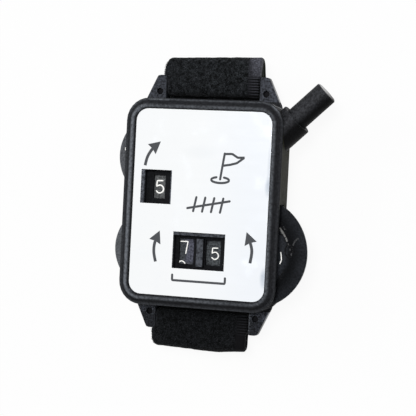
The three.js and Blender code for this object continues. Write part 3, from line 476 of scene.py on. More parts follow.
def mirror_sheet():
    """Polished sheet with faint smudges, slightly bluer to the right, its turned edge dull."""
    finish = Finish("mirror sheet")
    haze = finish.noise(0.12, detail=4, roughness=0.55).step(0.5, 0.8)
    wiped = finish.noise(0.5, detail=3, stretch=(0.3, 1.6, 1))
    to_right = finish.axis("X").step(-4.0, PLATE_HALF_X)
    clean = finish.blend(0.8 * to_right, (0.925, 0.94, 0.95), (0.86, 0.895, 0.945))
    smears = 0.0
    for x, y, wide, high, strength in SHEET_SMEARS:
        away = finish.node("VectorMath", {"operation": "LENGTH"}, {
            0: finish.node("VectorMath", {"operation": "MULTIPLY_ADD"}, {
                0: finish.places, 1: (1 / (wide * MM), 1 / (high * MM), 0), 2: (-x / wide, -y / high, 0),
            }, "Vector"),
        }, "Value")
        smears = (1.0 - away.step(0.2, 1.0)) * strength * (0.6 + 0.8 * wiped) + smears
    soiled = (0.14 * haze + smears).at_most(1.0)
    rounded = finish.soft_edges(0.06)
    turned_edge = finish.edge_mask(rounded, 0.0005, 0.008)
    return finish.surface({
        "Base Color": finish.blend(soiled, clean, (0.5, 0.56, 0.64)),
        "Metallic": 1.0,
        "Roughness": 0.1 + 0.1 * haze + 0.04 * wiped + 0.5 * turned_edge,
        "Normal": finish.bump(wiped, 0.001, rounded),
    })


def bare_metal(name, colour, dullness):
    """Drawn metal with fine lengthwise scratches."""
    finish = Finish(name)
    scratches = finish.noise(9, detail=3, stretch=(1, 0.12, 1))
    stain = finish.noise(1.1, detail=3)
    return finish.surface({
        "Base Color": finish.tint(colour, 0.8 + 0.25 * stain),
        "Metallic": 1.0,
        "Roughness": dullness + 0.18 * (stain - 0.5) + 0.1 * scratches,
        "Normal": finish.bump(scratches, 0.004, finish.soft_edges(0.05)),
    })


def printed_paint(name, colour, under_colour, worn, glow=0.0, specular=0.2):
    """A thin coat of paint, rubbed away in places; a glow above 0 is painted light that makes it a little
    luminous.
    """
    finish = Finish(name)
    flakes = finish.noise(5, detail=4, roughness=0.7)
    cover = flakes.step(worn - 0.12, worn + 0.12)
    return finish.surface({
        "Base Color": finish.blend(cover, under_colour, finish.tint(colour, 0.94 + 0.12 * flakes)),
        "Roughness": 0.5 + 0.2 * flakes,
        "Specular IOR Level": specular,
        "Emission Color": finish.tint(colour, cover),
        "Emission Strength": glow,
        "Normal": finish.bump(flakes, 0.006),
    })


def loop_pile():
    """Black loop tape: crushed loops, and a woven edge at the right, ribbed where the tape is bent."""
    finish = Finish("strap loop pile")
    across = finish.axis("X")
    along = finish.axis("Y")
    height = finish.axis("Z")
    upper = along.step(-5.0, 5.0)
    woven = across.step(SELVEDGE_START - 0.3, SELVEDGE_START + 0.3)
    bent = 1.0 - abs(along).step(33.0, 34.0)
    ribs = 0.5 + 0.5 * (along * (2 * math.pi / RIB_PITCH)).wave()
    threads = 0.5 + 0.5 * (across * (2 * math.pi / THREAD_PITCH)).wave()
    loop_places = finish.scaled(2600, 2600, 2600)
    loops = finish.node("TexVoronoi", None, {"Vector": loop_places, "Scale": 1.0}, "Distance")
    fuzz = finish.noise(3.5, detail=5, roughness=0.7)
    curls = finish.noise(1.7, detail=2, distortion=2.5)
    glints = hump(curls, 0.52, 0.05) * finish.noise(1.3, detail=3).step(0.38, 0.6)
    matted = finish.noise(0.45, detail=3).step(0.4, 0.7)
    tufts = finish.noise(2.3, detail=3, roughness=0.7).step(0.45, 0.68)
    glint_share = (0.85 * glints + 0.05 * matted) * (0.3 + 0.7 * upper)
    tufted = finish.tint(srgb(13, 15, 16), 0.1 + 0.2 * fuzz + (0.9 + 1.9 * upper) * tufts)
    pile_colour = finish.blend(glint_share, tufted, srgb(82, 86, 91))
    sheen = (0.35 + 0.85 * across.step(8.4, 12.0)) * (0.74 + 0.36 * along.step(34.0, 37.4))
    upper_colour = finish.tint(srgb(68, 69, 76), (0.45 + 0.4 * fuzz + 1.15 * tufts) * sheen)
    flat_colour = finish.blend(upper, srgb(12, 12, 14), upper_colour)
    rib_depth = 0.25 + 0.75 * across.step(9.6, 11.2)
    rib_light = (1.0 - rib_depth) * 0.45 + rib_depth * (1.5 * ribs - 0.2).at_least(0.0)
    rib_level = 0.02 + (0.35 + 0.75 * upper) * rib_light * (0.5 + 0.5 * threads)
    woven_colour = finish.blend(bent, flat_colour, finish.tint(srgb(51, 52, 57), rib_level))
    side_from = 13.0 + 0.12 * along.step(33.5, 36.5)
    seam = hump(across, 12.75, 0.35) * (1.0 - upper)
    fold_line = hump(across, side_from - 0.08, 0.24) * upper
    under_fold = across.step(12.5, 12.8) * (1.0 - height.step(8.9, 9.3))
    turned_side = across.step(side_from, side_from + 0.16).at_least(under_fold)
    seam_colour = finish.blend(seam, woven_colour, srgb(12, 12, 13))
    edge_colour = finish.blend(0.5 * fold_line, seam_colour, srgb(96, 97, 98))
    side_colour = finish.blend(turned_side, edge_colour, srgb(31, 35, 29))
    # Painted light lifts the pile in the case's shadow at the lower end
    lift_in_case_shadow = (-along).step(26.0, 26.6) * (1.0 - (-along).step(27.2, 29.4))
    pile_relief = 0.6 * fuzz + 0.6 * tufts - 0.8 * loops
    relief = (1.0 - woven) * pile_relief + woven * (0.2 * threads + 0.8 * bent * ribs)
    return finish.surface({
        "Base Color": finish.tint(finish.blend(woven, pile_colour, side_colour), 1.0 + 2.2 * lift_in_case_shadow),
        "Roughness": 0.85 - 0.2 * woven,
        "Specular IOR Level": 0.04,
        "Sheen Weight": 0.03,
        "Sheen Roughness": 0.5,
        "Normal": finish.bump(relief, 0.12),
    })


def nylon_thread(name, colour):
    """Dull nylon with fine strands."""
    finish = Finish(name)
    strands = finish.noise(12, detail=3)
    return finish.surface({
        "Base Color": finish.tint(colour, 0.5 + strands),
        "Roughness": 0.6 + 0.2 * strands,
        "Specular IOR Level": 0.15,
        "Normal": finish.bump(strands, 0.02),
    })


case_finish = case_plastic()
cover_finish = moulded_plastic("back cover plastic", srgb(24, 25, 28), srgb(90, 92, 97), dullness=0.46)
rod_finish = rod_plastic()
working_finish = moulded_plastic("working plastic", srgb(34, 35, 38), srgb(90, 92, 96), grain_depth=0.006)
# The hole and tens wheels are lighter than the units wheel by painted light from the left
hole_wheel_finish = wheel_plastic(
    "hole wheel plastic", HOLE_WHEEL, srgb(83, 85, 89), figure_ring=9.2,
    painted_light_spot=(-12.23, 3.84), painted_light_colour=srgb(100, 102, 103),
)
tens_wheel_finish = wheel_plastic(
    "tens wheel plastic", TENS_WHEEL, srgb(89, 92, 96), figure_ring=9.4,
    painted_light_spot=(-3.6, -12.2), painted_light_colour=srgb(90, 92, 105), painted_shade_share=1.0,
)
units_wheel_finish = wheel_plastic(
    "units wheel plastic", UNITS_WHEEL, srgb(34, 36, 40), figure_ring=11.2,
    painted_light_spot=(3.71, -12.65), painted_light_colour=srgb(80, 84, 87), dark_ring=10.4, specular=0.03,
)
sheet_finish = mirror_sheet()
steel_finish = bare_metal("drawn steel", srgb(190, 192, 196), dullness=0.3)
blackened_finish = bare_metal("blackened steel", srgb(22, 22, 24), dullness=0.5)
brass_finish = bare_metal("rivet brass", srgb(205, 170, 105), dullness=0.32)
ink_finish = printed_paint("arrow ink", srgb(70, 72, 76), srgb(150, 154, 160), worn=0.2)
# The figures' glow is painted light that brightens them in their shaded wells
glowing_figure_finish = printed_paint(
    "figure paint", srgb(252, 252, 248), srgb(150, 148, 142), worn=0.12, glow=0.32,
)
faded_finish = printed_paint(
    "worn figure paint", srgb(110, 110, 110), srgb(17, 18, 20), worn=0.66, specular=0.03,
)
dragged_finish = printed_paint(
    "dragged figure paint", srgb(150, 150, 148), srgb(36, 37, 40), worn=0.46, specular=0.03,
)
smudge_finish = printed_paint(
    "smudged figure paint", srgb(88, 89, 90), srgb(30, 31, 33), worn=0.5, specular=0.03,
)
pile_finish = loop_pile()
thread_finish = nylon_thread("loose pile thread", srgb(40, 42, 46))
hook_finish = nylon_thread("hook patch nylon", srgb(32, 33, 36))


def dress(finish, *names):
    for name in names:
        nodes[name].material_slots[0].material = finish


dress(case_finish, "front_case")
dress(cover_finish, "back_cover")
dress(sheet_finish, "face_plate")
dress(rod_finish, "plunger", "plunger_sleeve")
dress(
    blackened_finish, "strap_bar_top", "strap_bar_bottom",
    *(name for name in nodes if name.startswith("case_screw")),
)
dress(hole_wheel_finish, "hole_wheel")
dress(tens_wheel_finish, "tens_wheel")
dress(units_wheel_finish, "units_wheel")
dress(working_finish, "units_carry_cam", *(name for name in nodes if name.endswith("_ratchet")))
dress(
    steel_finish, "return_spring", "pusher_plate", "carry_follower_pin",
    *(name for name in nodes if name.endswith(("_axle", "_click_spring", "_pawl"))),
)
dress(brass_finish, *(name for name in nodes if name.endswith("_pawl_rivet")))


# Meshes

def make_mesh(name, points, faces, finish):
    """A mesh from points in millimetres."""
    mesh = bpy.data.meshes.new(name)
    mesh.from_pydata([Vector(point) * MM for point in points], [], faces)
    mesh.update()
    mesh.materials.append(finish)
    return mesh


def add_piece(name, points, faces, finish, body, smooth=True):
    """Makes a piece from points in millimetres and lets it ride on a body."""
    mesh = make_mesh(name, points, faces, finish)
    if smooth:
        mesh.shade_smooth()
    made = add_object(name, mesh)
    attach(made, body)
    return made


def arc(x, y, radius_x, radius_y, start, end, steps=12):
    """Points on an arc, from one angle to another in degrees."""
    angles = [math.radians(start + (end - start) * step / steps) for step in range(steps + 1)]
    return [(x + radius_x * math.cos(angle), y + radius_y * math.sin(angle)) for angle in angles]


def spread_evenly(line, count):
    """The same line as a set number of evenly spaced points."""
    lengths = [0.0]
    for first, second in zip(line, line[1:]):
        lengths.append(lengths[-1] + math.dist(first, second))
    points = []
    place = 0
    for number in range(count):
        target = lengths[-1] * number / (count - 1)
        while place < len(line) - 2 and lengths[place + 1] < target:
            place += 1
        share = (target - lengths[place]) / (lengths[place + 1] - lengths[place])
        points.append(tuple(a + (b - a) * share for a, b in zip(line[place], line[place + 1])))
    return points


def spaced_points(line, spacing):
    """The same line as evenly spaced points, about this far apart."""
    length = sum(math.dist(first, second) for first, second in zip(line, line[1:]))
    return spread_evenly(line, max(2, round(length / spacing)) + 1)


def heading(path, place):
    """The direction in which a path runs at one of its points."""
    before = Vector(path[max(place - 1, 0)])
    after = Vector(path[min(place + 1, len(path) - 1)])
    return (after - before).normalized()


def stroke_rows(line, width, height):
    """Rows of points across a painted stroke: rounded ends, low rounded top."""
    half = width / 2
    ends = 3
    points = spaced_points(line, half)
    first, last = Vector(points[0]), Vector(points[-1])
    start = (first - Vector(points[1])).normalized()
    end = (last - Vector(points[-2])).normalized()
    caps = [half * math.cos(math.pi / 2 * step / ends) for step in range(ends)]
    path = [(first + start * reach, math.sqrt(half ** 2 - reach ** 2)) for reach in caps]
    path += [(Vector(point), half) for point in points]
    path += [(last + end * reach, math.sqrt(half ** 2 - reach ** 2)) for reach in reversed(caps)]
    middles = [middle for middle, _ in path]
    rows = []
    for place, (point, reach) in enumerate(path):
        ahead = heading(middles, place)
        side = Vector((-ahead.y, ahead.x))
        rows.append([
            (*(point + side * reach * share), height * rise)
            for share, rise in ((-1, 0), (-0.8, 0.85), (0, 1), (0.8, 0.85), (1, 0))
        ])
    return rows


def painted(name, strokes, width, height, places, finish, body):
    """One piece of paint: a list of strokes for each place (x, y, z, turn in degrees)."""
    points = []
    faces = []
    for spot, (x, y, z, turn) in enumerate(places):
        turned = Matrix.Rotation(math.radians(turn), 3, "Z")
        for number, line in enumerate(strokes[spot]):
            rows = stroke_rows(line, width, height * (1 + 0.08 * number))
            start = len(points)
            across = len(rows[0])
            points += [turned @ Vector(point) + Vector((x, y, z)) for row in rows for point in row]
            faces += [
                (corner, corner + across, corner + across + 1, corner + 1)
                for row in range(len(rows) - 1)
                for corner in range(start + row * across, start + (row + 1) * across - 1)
            ]
    add_piece(name, points, faces, finish, body)


# Figures, arrows and marks

FIGURE_STROKES = {
    0: [arc(0, 0, 0.98, 1.6, 0, 360, 24)],
    1: [[(-0.55, 1.0), (0.15, 1.6), (0.15, -1.6)]],
    2: [arc(0, 0.66, 0.95, 0.95, 165, -35) + [(-0.98, -1.6), (1.02, -1.6)]],
    3: [arc(-0.05, 0.8, 0.85, 0.8, 150, -90) + arc(-0.05, -0.75, 1.02, 0.86, 90, -150)],
    4: [[(0.45, -1.6), (0.45, 1.6), (-1.02, -0.62), (1.05, -0.62)]],
    5: [[(0.78, 1.6), (-0.72, 1.6), (-0.88, 0.12)] + arc(-0.02, -0.58, 1.03, 1.03, 128, -150, 16)],
    6: [arc(0.1, 0.76, 0.92, 0.9, 38, 168) + arc(0, -0.62, 1.0, 1.0, 180, 540, 24)],
    7: [[(-1.02, 1.6), (0.96, 1.6), (0.36, -1.6)]],
    8: [arc(0, 0.83, 0.82, 0.78, 270, 630, 20), arc(0, -0.74, 1.02, 0.88, 90, 450, 22)],
    9: [arc(-0.02, -0.6, 0.98, 1.0, 196, 360) + arc(0, 0.62, 1.0, 1.0, 0, 360, 24)],
}
FIGURE_WIDTH = 0.36
FIGURE_HEIGHT = 0.035
TENTH_OF_TURN = 36
TENS_LOOK = {"size": 0.96, "width": 0.29}
UNITS_LOOK = {"size": 0.91, "width": 0.29}
WORN_LOOK = {"height": 0.008}


def figure_places(wheel, radius, seen, angle, turn, step):
    """Where the figures 0 to 9 stand round a wheel, from the angle and turn of the one that is seen."""
    places = []
    for figure in range(10):
        around = math.radians(angle - step * seen + step * figure)
        x = wheel[0] + radius * math.cos(around)
        y = wheel[1] + radius * math.sin(around)
        places.append((x, y, WHEEL_TOP, turn - step * seen + step * figure))
    return places


def wheel_figures(name, body, places, figures, finish, size=1.0, width=FIGURE_WIDTH, height=FIGURE_HEIGHT):
    """Some of a wheel's figures as one piece."""
    strokes = [
        [[(x * size, y * size) for x, y in line] for line in FIGURE_STROKES[figure]]
        for figure in figures
    ]
    painted(name, strokes, width, height, [places[figure] for figure in figures], finish, body)


hole_places = figure_places(HOLE_WHEEL, 7.94, seen=5, angle=268.6, turn=2.5, step=TENTH_OF_TURN)
tens_places = figure_places(TENS_WHEEL, 8.3, seen=7, angle=6, turn=2, step=TENTH_OF_TURN)
units_places = figure_places(UNITS_WHEEL, 9.8, seen=5, angle=185.5, turn=2, step=-TENTH_OF_TURN)
tens_unworn = (0, 1, 3, 4, 5, 6, 7, 8, 9)
wheel_figures("hole_figures", "hole_counter", hole_places, range(10), glowing_figure_finish)
wheel_figures("tens_figures", "tens_counter", tens_places, tens_unworn, glowing_figure_finish, **TENS_LOOK)
wheel_figures("tens_worn_figure", "tens_counter", tens_places, (2,), faded_finish, **WORN_LOOK)
wheel_figures("units_figures", "units_counter", units_places, range(2, 9), glowing_figure_finish, **UNITS_LOOK)
wheel_figures("units_worn_figures", "units_counter", units_places, (0, 1, 9), faded_finish, **WORN_LOOK)

# Paint that the thumb has dragged along the units wheel, in millimetres from the wheel's centre
PAINT_DRAGS = [
    arc(0, 0, 9.75, 9.75, 43, 28, 6), arc(0, 0, 9.62, 9.62, 40, 34, 3), arc(0, 0, 9.8, 9.8, 25, 21, 3),
]
PAINT_SMUDGES = [
    [(8.05, 7.0), (8.5, 6.5)], arc(0, 0, 9.9, 9.9, 16.5, 15, 2), arc(0, 0, 10.15, 10.15, 8.5, 7, 2),
    arc(0, 0, 10.45, 10.45, 2, 0, 2), [(10.8, 2.6), (11.2, 3.6), (11.95, 4.3)],
]
PAINT_CHIP = [[(7.68, 0.5), (7.95, -1.3), (7.6, -2.35)]]
PAINT_FLECK = [[(-0.06, -0.25), (0.06, 0.25)]]
at_units_wheel = [(*UNITS_WHEEL, WHEEL_TOP, 0)]
at_hole_rim = [(-22.12, 13.45, WHEEL_TOP, 0)]
painted(
    "units_paint_drags", [PAINT_DRAGS], width=0.42, height=0.012,
    places=at_units_wheel, finish=dragged_finish, body="units_counter",
)
painted(
    "units_paint_smudges", [PAINT_SMUDGES], width=0.4, height=0.008,
    places=at_units_wheel, finish=smudge_finish, body="units_counter",
)
painted(
    "units_paint_chip", [PAINT_CHIP], width=0.24, height=0.02,
    places=at_units_wheel, finish=glowing_figure_finish, body="units_counter",
)
painted(
    "hole_paint_fleck", [PAINT_FLECK], width=0.5, height=0.03,
    places=at_hole_rim, finish=glowing_figure_finish, body="hole_counter",
)

ARROW_WIDTH = 0.78
ARROW_HEAD_LENGTH = 3.2
ARROW_HEAD_WIDTH = 3.4
MARK_WIDTH = 0.6
INK_HEIGHT = 0.02
ARROW_LINES = {
    "hole_arrow": [(-15.27, 9.26), (-14.66, 11.68), (-13.26, 13.87), (-11.26, 15.64)],
    "tens_arrow": [(-11.15, -15.52), (-11.72, -13.01), (-11.55, -10.47), (-10.37, -7.42)],
    "units_arrow": [(14.18, -14.33), (14.52, -11.28), (13.89, -8.83), (12.9, -6.42)],
}


def smooth_line(points, steps=6):
    """A smooth curve through every point."""
    padded = [points[0], *points, points[-1]]
    curve = []
    for first, second, third, fourth in zip(padded, padded[1:], padded[2:], padded[3:]):
        for step in range(steps):
            t = step / steps
            curve.append(tuple(
                0.5 * (
                    2 * b + (c - a) * t + (2 * a - 5 * b + 4 * c - d) * t ** 2
                    + (3 * b - a - 3 * c + d) * t ** 3
                )
                for a, b, c, d in zip(first, second, third, fourth)
            ))
    return curve + [points[-1]]


def ink_arrow(name, line):
    """A curved arrow: an even shaft and a flat three-cornered head."""
    curve = smooth_line(line)
    tip = Vector(curve[-1])
    shaft = [point for point in curve if (tip - Vector(point)).length > 0.75 * ARROW_HEAD_LENGTH]
    low, high = PLATE_TOP, PLATE_TOP + INK_HEIGHT
    points = []
    for place, point in enumerate(shaft):
        ahead = heading(shaft, place)
        side = Vector((-ahead.y, ahead.x)) * ARROW_WIDTH / 2
        for spot in (Vector(point) + side, Vector(point) - side):
            points += [(*spot, low), (*spot, high)]
    faces = []
    for row in range(len(shaft) - 1):
        left = 4 * row
        faces += [
            (left + 1, left + 3, left + 7, left + 5),
            (left, left + 1, left + 5, left + 4),
            (left + 3, left + 2, left + 6, left + 7),
        ]
    faces.append((0, 2, 3, 1))
    ahead = (tip - Vector(shaft[-1])).normalized()
    side = Vector((-ahead.y, ahead.x)) * ARROW_HEAD_WIDTH / 2
    root = tip - ahead * ARROW_HEAD_LENGTH
    start = len(points)
    for spot in (tip, root + side, root + ahead * 0.25, root - side):
        points += [(*spot, low), (*spot, high + 0.002)]
    faces += [(start + 1, start + 3, start + 5), (start + 1, start + 5, start + 7)]
    for corner in range(4):
        here = start + 2 * corner
        after = start + 2 * ((corner + 1) % 4)
        faces.append((here, after, after + 1, here + 1))
    add_piece(name, points, faces, ink_finish, "case", smooth=False)


for arrow_name, arrow_line in ARROW_LINES.items():
    ink_arrow(arrow_name, arrow_line)

# Plain marks: a flag in its hole, five tally strokes, and a bracket that joins the two lower windows
FACE_MARKS = [
    [(5.2, 6.6), (5.6, 9.6), (6.1, 13.2)],
    [(6.1, 13.1), (8.1, 13.2), (9.6, 12.3), (11.4, 12.4), (9.4, 10.9), (7.6, 10.4), (5.75, 10.1)],
    arc(5.2, 6.4, 2.4, 0.75, 115, 425, 20),
    *([(left, -1.9), (left + 0.7, 1.7)] for left in (-1.6, 0.8, 3.2, 5.6)),
    [(-3.2, -1.2), (8.0, 1.1)],
    [(-6.4, -18.6), (-6.4, -20.0), (7.8, -20.0), (7.8, -18.6)],
]
painted("face_marks", [FACE_MARKS], MARK_WIDTH, INK_HEIGHT, [(0, 0, PLATE_TOP, 0)], ink_finish, "case")


# Strap: one band of loop tape, folded out past each bar and back under the case

STRAP_HALF_WIDTH = 12.5
STRAP_HALF_THICKNESS = 0.75
SELVEDGE_ROUND = 0.6

# The tape spreads past this line, close to the lugs' tips, and below this height
SPREAD_START = 33.05
SPREAD_HEIGHT = 6.45

# Heights of the tape's middle line above the floor
LOWER_TAIL = STRAP_HALF_THICKNESS
UPPER_TAIL = 3.65
UNDER_CASE = 5.45
BESIDE_LUG = 6.45
FOLD_UNDERSIDE = 7.35
FOLD_TOPSIDE = 9.65
OVER_BAR = 9.75

# Where it goes up between the case and each bar, and its wide and tight bends
UP_BY_CASE = 28.75
WIDE_BEND = 3
TIGHT_BEND = 1.15


def corner_fall(x, start, reach):
    """How far a rounded corner falls back: 0 up to its start, 1 at the end of its reach."""
    share = min(max(0.0, (x - start) / reach), 1)
    return 1 - math.sqrt(1 - share ** 2)


def top_fold_fall(x):
    """How far the top fold falls back from its furthest line at a place across it."""
    return 2.4 * corner_fall(-x, 11.1, 1.4) + 0.2 * corner_fall(x, 12.0, 0.5) - 0.024 * x


def bottom_fold_fall(x):
    """The same for the bottom fold, whose edge leans both ways from a point right of its middle."""
    lean = 0.035 * (4.2 - x) if x < 4.2 else 0.085 * (x - 4.2)
    return lean + 1.9 * corner_fall(-x, 11.0, 1.5)


def strap_corners(x):
    """The middle line of the strap at a place across it: (y, z, bend radius) of each corner."""
    top = 37.65 - top_fold_fall(x)
    bottom = 37.9 - bottom_fold_fall(x)
    return [
        (-18, UPPER_TAIL, 0), (28.0, UPPER_TAIL, WIDE_BEND), (31.8, BESIDE_LUG, WIDE_BEND),
        (34.0, FOLD_UNDERSIDE, WIDE_BEND), (top, FOLD_UNDERSIDE, TIGHT_BEND),
        (top, FOLD_TOPSIDE, TIGHT_BEND), (34.0, FOLD_TOPSIDE, WIDE_BEND),
        (UP_BY_CASE, OVER_BAR, 1.5), (UP_BY_CASE, UNDER_CASE, 2),
        (-UP_BY_CASE, UNDER_CASE, 2), (-UP_BY_CASE, OVER_BAR, 1.5),
        (-34.2, FOLD_TOPSIDE, WIDE_BEND), (-bottom, FOLD_TOPSIDE, TIGHT_BEND),
        (-bottom, FOLD_UNDERSIDE, TIGHT_BEND), (-34.2, FOLD_UNDERSIDE, WIDE_BEND),
        (-31.8, BESIDE_LUG, WIDE_BEND), (-24.5, LOWER_TAIL, WIDE_BEND), (17, LOWER_TAIL, 0),
    ]


def spread_past_lugs(x, y, z):
    """Where x lies: nipped between the lugs, at full width past their tips and under the case."""
    past = max((abs(y) - SPREAD_START) / 0.4, (SPREAD_HEIGHT - z) / 0.45)
    past = min(1.0, max(0.0, past))
    eased = past * past * (3 - 2 * past)
    upper = min(1.0, max(0.0, 0.5 + y / 50))
    shift = -0.02 * upper - 0.7 * (1 - upper)
    wider = (1.0 - 0.08 * max(0.0, y - SPREAD_START)) * upper + 0.35 * (1 - upper)
    return x + eased * (shift + wider * x / STRAP_HALF_WIDTH)


def rounded_line(corners, steps=8):
    """A line through corners, each rounded by an arc of its own radius."""
    line = [corners[0][:2]]
    for before, here, after in zip(corners, corners[1:], corners[2:]):
        corner = Vector(here[:2])
        back = Vector(before[:2]) - corner
        ahead = Vector(after[:2]) - corner
        turn = math.pi - back.angle(ahead)
        reach = min(here[2] * math.tan(turn / 2), 0.48 * back.length, 0.48 * ahead.length)
        start = corner + back.normalized() * reach
        end = corner + ahead.normalized() * reach
        for step in range(steps + 1):
            t = step / steps
            line.append(tuple((1 - t) ** 2 * start + 2 * t * (1 - t) * corner + t ** 2 * end))
    line.append(corners[-1][:2])
    return line


def edge_share(x):
    """How much of the strap's full thickness is left near its rounded edges."""
    into_edge = min(1.0, max(0.0, (abs(x) - STRAP_HALF_WIDTH + SELVEDGE_ROUND) / SELVEDGE_ROUND))
    return max(0.12, math.sqrt(1 - into_edge ** 2))


STRAP_STATIONS = 460
STRAP_COLUMNS = 66


def strap_section(x):
    """The strap at x: for each station its middle in y and z, the outward direction there, and x."""
    line = spread_evenly(spaced_points(rounded_line(strap_corners(x)), 1.0), STRAP_STATIONS)
    section = []
    for place, point in enumerate(line):
        ahead = heading(line, place)
        section.append((Vector(point), Vector((ahead.y, -ahead.x)), x))
    return section


def pile_rise(point):
    """How high the crushed pile stands at a point, in millimetres."""
    place = Vector(point)
    coarse = noise.noise(place * 0.9)
    fine = noise.noise(place * 2.3 + Vector((7, 3, 1)))
    return 0.05 + 0.07 * coarse + 0.05 * fine


def strap_grid():
    """Such sections all across the strap, closer together towards its edges."""
    grid = []
    for column in range(STRAP_COLUMNS + 1):
        share = column / STRAP_COLUMNS
        x = STRAP_HALF_WIDTH * math.sin((share - 0.5) * math.pi * 0.96) / math.sin(math.pi * 0.48)
        grid.append(strap_section(x))
    return grid


def build_strap(grid):
    """The band as one closed mesh: pile side, plain side, and woven edges between them."""
    points = []
    around = 2 * len(grid)
    for station in range(STRAP_STATIONS):
        for side in (1, -1):
            for column in grid if side == 1 else reversed(grid):
                middle, outward, x = column[station]
                half = STRAP_HALF_THICKNESS * edge_share(x)
                spot = middle + outward * half * side
                point = Vector((spread_past_lugs(x, *spot), *spot))
                if side == 1:
                    in_pile = min(1.0, max(0.0, (SELVEDGE_START - x) / 0.4))
                    rise = outward * pile_rise(point) * in_pile
                    point += Vector((0, rise.x, rise.y))
                points.append(Vector((point.x, point.y, max(point.z, 0.0))))
    faces = []
    for station in range(STRAP_STATIONS - 1):
        for spot in range(around):
            after = (spot + 1) % around
            low = station * around
            high = low + around
            faces.append((low + spot, high + spot, high + after, low + after))
    last = (STRAP_STATIONS - 1) * around
    faces += [tuple(range(around)), tuple(reversed(range(last, last + around)))]
    return add_piece("strap", points, faces, pile_finish, "case")


def thread_tube(path, radius, points, faces):
    """Adds a thin three-sided thread along a path of points to a mesh that is being built."""
    sides = 3
    start = len(points)
    for place, point in enumerate(path):
        ahead = heading(path, place)
        side = ahead.orthogonal().normalized()
        other = ahead.cross(side)
        for number in range(sides):
            angle = 2 * math.pi * number / sides
            points.append(point + (side * math.cos(angle) + other * math.sin(angle)) * radius)
    for row in range(len(path) - 1):
        for number in range(sides):
            here = start + row * sides + number
            after = start + row * sides + (number + 1) % sides
            faces.append((here, after, after + sides, here + sides))


PILE_LOOPS = 6000


def build_pile_loops(grid):
    """Loose loops of thread that stand a little out of the crushed pile on both folded ends."""
    chance = random.Random(4)
    ends = [
        number for number, (middle, _, _) in enumerate(grid[0])
        if middle.y > 6.0 and abs(middle.x) > 28.2
    ]
    points = []
    faces = []
    for _ in range(PILE_LOOPS):
        middle, outward, x = grid[chance.randrange(1, len(grid) - 1)][chance.choice(ends)]
        if x > SELVEDGE_START or outward.y < 0.5:
            continue
        spot = middle + outward * (STRAP_HALF_THICKNESS * edge_share(x) + 0.02)
        foot = Vector((spread_past_lugs(x, *spot), *spot))
        up = Vector((0.9 * min(0.0, (x + 11.6)), outward.x, outward.y)).normalized()
        lean = Vector((chance.uniform(-1, 1), chance.uniform(-1, 1), chance.uniform(-1, 1)))
        lean = (lean - up * lean.dot(up)).normalized()
        width = chance.uniform(0.25, 0.6)
        height = chance.uniform(0.05, 0.14)
        curl = up.cross(lean) * chance.uniform(-0.25, 0.25)
        path = [
            foot + lean * width * share + up * height * math.sin(math.pi * share)
            + curl * math.sin(2 * math.pi * share)
            for share in (step / 5 for step in range(6))
        ]
        thread_tube(path, 0.035, points, faces)
    return add_piece("strap_pile_loops", points, faces, thread_finish, "case")


HOOK_BASE = 0.45
HOOK_ROUND = 0.9
HOOK_LEAN = 0.22
HOOK_ROWS = 17
HOOK_COLUMNS = 21
# One hook: shares of its lean and of its height
HOOK_LINE = ((0, 0), (0, 0.5), (0.2, 0.85), (0.6, 0.95), (1, 0.8), (1.15, 0.55))


def build_hook_patch():
    """The hook strip on the lower tail: a thin moulded base with rows of small hooks."""
    low, high = (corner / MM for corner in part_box("hook_patch"))
    base_top = low.z + HOOK_BASE
    points = []
    faces = []
    outline = []
    corners = ((high.x, high.y, 0), (low.x, high.y, 90), (low.x, low.y, 180), (high.x, low.y, 270))
    for x, y, start in corners:
        inward = Vector((-1 if x > 0 else 1, -1 if y == high.y else 1)) * HOOK_ROUND
        outline += arc(x + inward.x, y + inward.y, HOOK_ROUND, HOOK_ROUND, start, start + 90, 6)
    around = len(outline)
    for inset, height in ((0.1, low.z), (0, low.z + 0.1), (0, base_top - 0.12), (0.12, base_top)):
        for x, y in outline:
            inside = (x - math.copysign(inset, x), y - math.copysign(inset, y - low.y - 1))
            points.append(Vector((*inside, height)))
    for ring in range(3):
        for spot in range(around):
            here = ring * around + spot
            after = ring * around + (spot + 1) % around
            faces.append((here, after, after + around, here + around))
    faces += [tuple(reversed(range(around))), tuple(range(3 * around, 4 * around))]
    chance = random.Random(9)
    reach = high.z - base_top
    for row in range(HOOK_ROWS):
        for column in range(HOOK_COLUMNS):
            x = low.x + 1.4 + column * (high.x - low.x - 2.8) / (HOOK_COLUMNS - 1)
            y = low.y + 1.0 + row * (high.y - low.y - 2.0) / (HOOK_ROWS - 1)
            lean = chance.choice((-1, 1)) * HOOK_LEAN
            foot = Vector((x, y, base_top - 0.02))
            path = [foot + Vector((lean * out, 0, reach * up)) for out, up in HOOK_LINE]
            thread_tube(path, 0.06, points, faces)
    return add_piece("hook_strip", points, faces, hook_finish, "case")


def build_spring_coils():
    """The return spring's coils, copied from its part, which is hidden; in the counter one end stands on
    the case and the other goes in with the rod.
    """
    coils = add_object("return_spring_coils", nodes["return_spring"].data.copy())
    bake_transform(coils)
    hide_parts("return_spring")


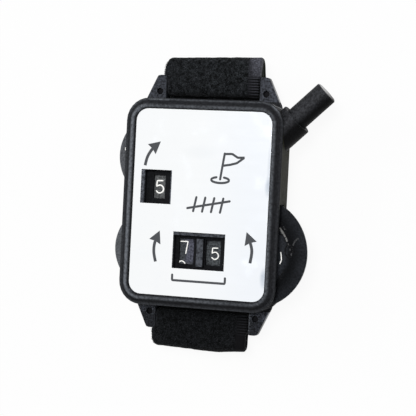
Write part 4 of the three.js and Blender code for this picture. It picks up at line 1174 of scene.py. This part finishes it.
build_spring_coils()
strap_sections = strap_grid()
strap = build_strap(strap_sections)
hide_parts("strap_band")
pile_loops = build_pile_loops(strap_sections)
hook_strip = build_hook_patch()
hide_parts("hook_patch")


# Floor, lamps and background

def white_to_the_eye(finish, plain):
    """Is 1 for rays that see the background straight, mirrored or through glass, and plain for others."""
    straight, glossy, through = (
        finish.node("LightPath", output=f"Is {kind} Ray") for kind in ("Camera", "Glossy", "Transmission")
    )
    return plain + (1.0 - plain) * straight.at_least(glossy).at_least(through)


def pale_floor():
    finish = Finish("pale floor")
    mottle = finish.noise(0.02, detail=3)
    colour = finish.tint((0.9, 0.9, 0.9), 0.98 + 0.04 * mottle)
    lit = finish.node("BsdfDiffuse", None, {"Color": colour, "Roughness": 0.6}, "BSDF")
    glow = finish.node("Emission", None, {"Color": (1, 1, 1), "Strength": 1.0}, "Emission")
    share = 0.93 * white_to_the_eye(finish, 0.0)
    finish.finish_with(finish.node("MixShader", None, {0: share, 1: lit, 2: glow}, 0))
    return finish.material


def lay_floor():
    reach = 4000
    points = [(-reach, -reach, 0), (reach, -reach, 0), (reach, reach, 0), (-reach, reach, 0)]
    floor = add_object("floor", make_mesh("floor", points, [(0, 1, 2, 3)], pale_floor()))


def light_world():
    world = bpy.data.worlds.new("pale surroundings")
    finish = Finish("surroundings", world)
    level = white_to_the_eye(finish, 0.28)
    shader = finish.node("Background", None, {"Color": (1, 1, 1), "Strength": level}, "Background")
    finish.finish_with(shader)
    bpy.context.scene.world = world


def soft_lamp(name, place, size, level):
    """A square lamp aimed at the counter; level is how bright it makes a white card that faces it."""
    spot = Vector(place)
    data = bpy.data.lights.new(name, "AREA")
    data.size = size
    data.energy = level * math.pi ** 2 * spot.length_squared
    lamp = add_object(name, data)
    lamp.location = spot
    lamp.rotation_euler = spot.to_track_quat("Z", "Y").to_euler()


lay_floor()
light_world()
soft_lamp("lamp_left", (-0.6, 0.24, 0.4), size=0.3, level=0.3)
soft_lamp("lamp_above", (0.06, 0.16, 0.8), size=0.24, level=0.565)
soft_lamp("lamp_right", (0.7, 0.25, 0.3), size=0.25, level=0.07)
bpy.context.scene.view_settings.view_transform = "Standard"
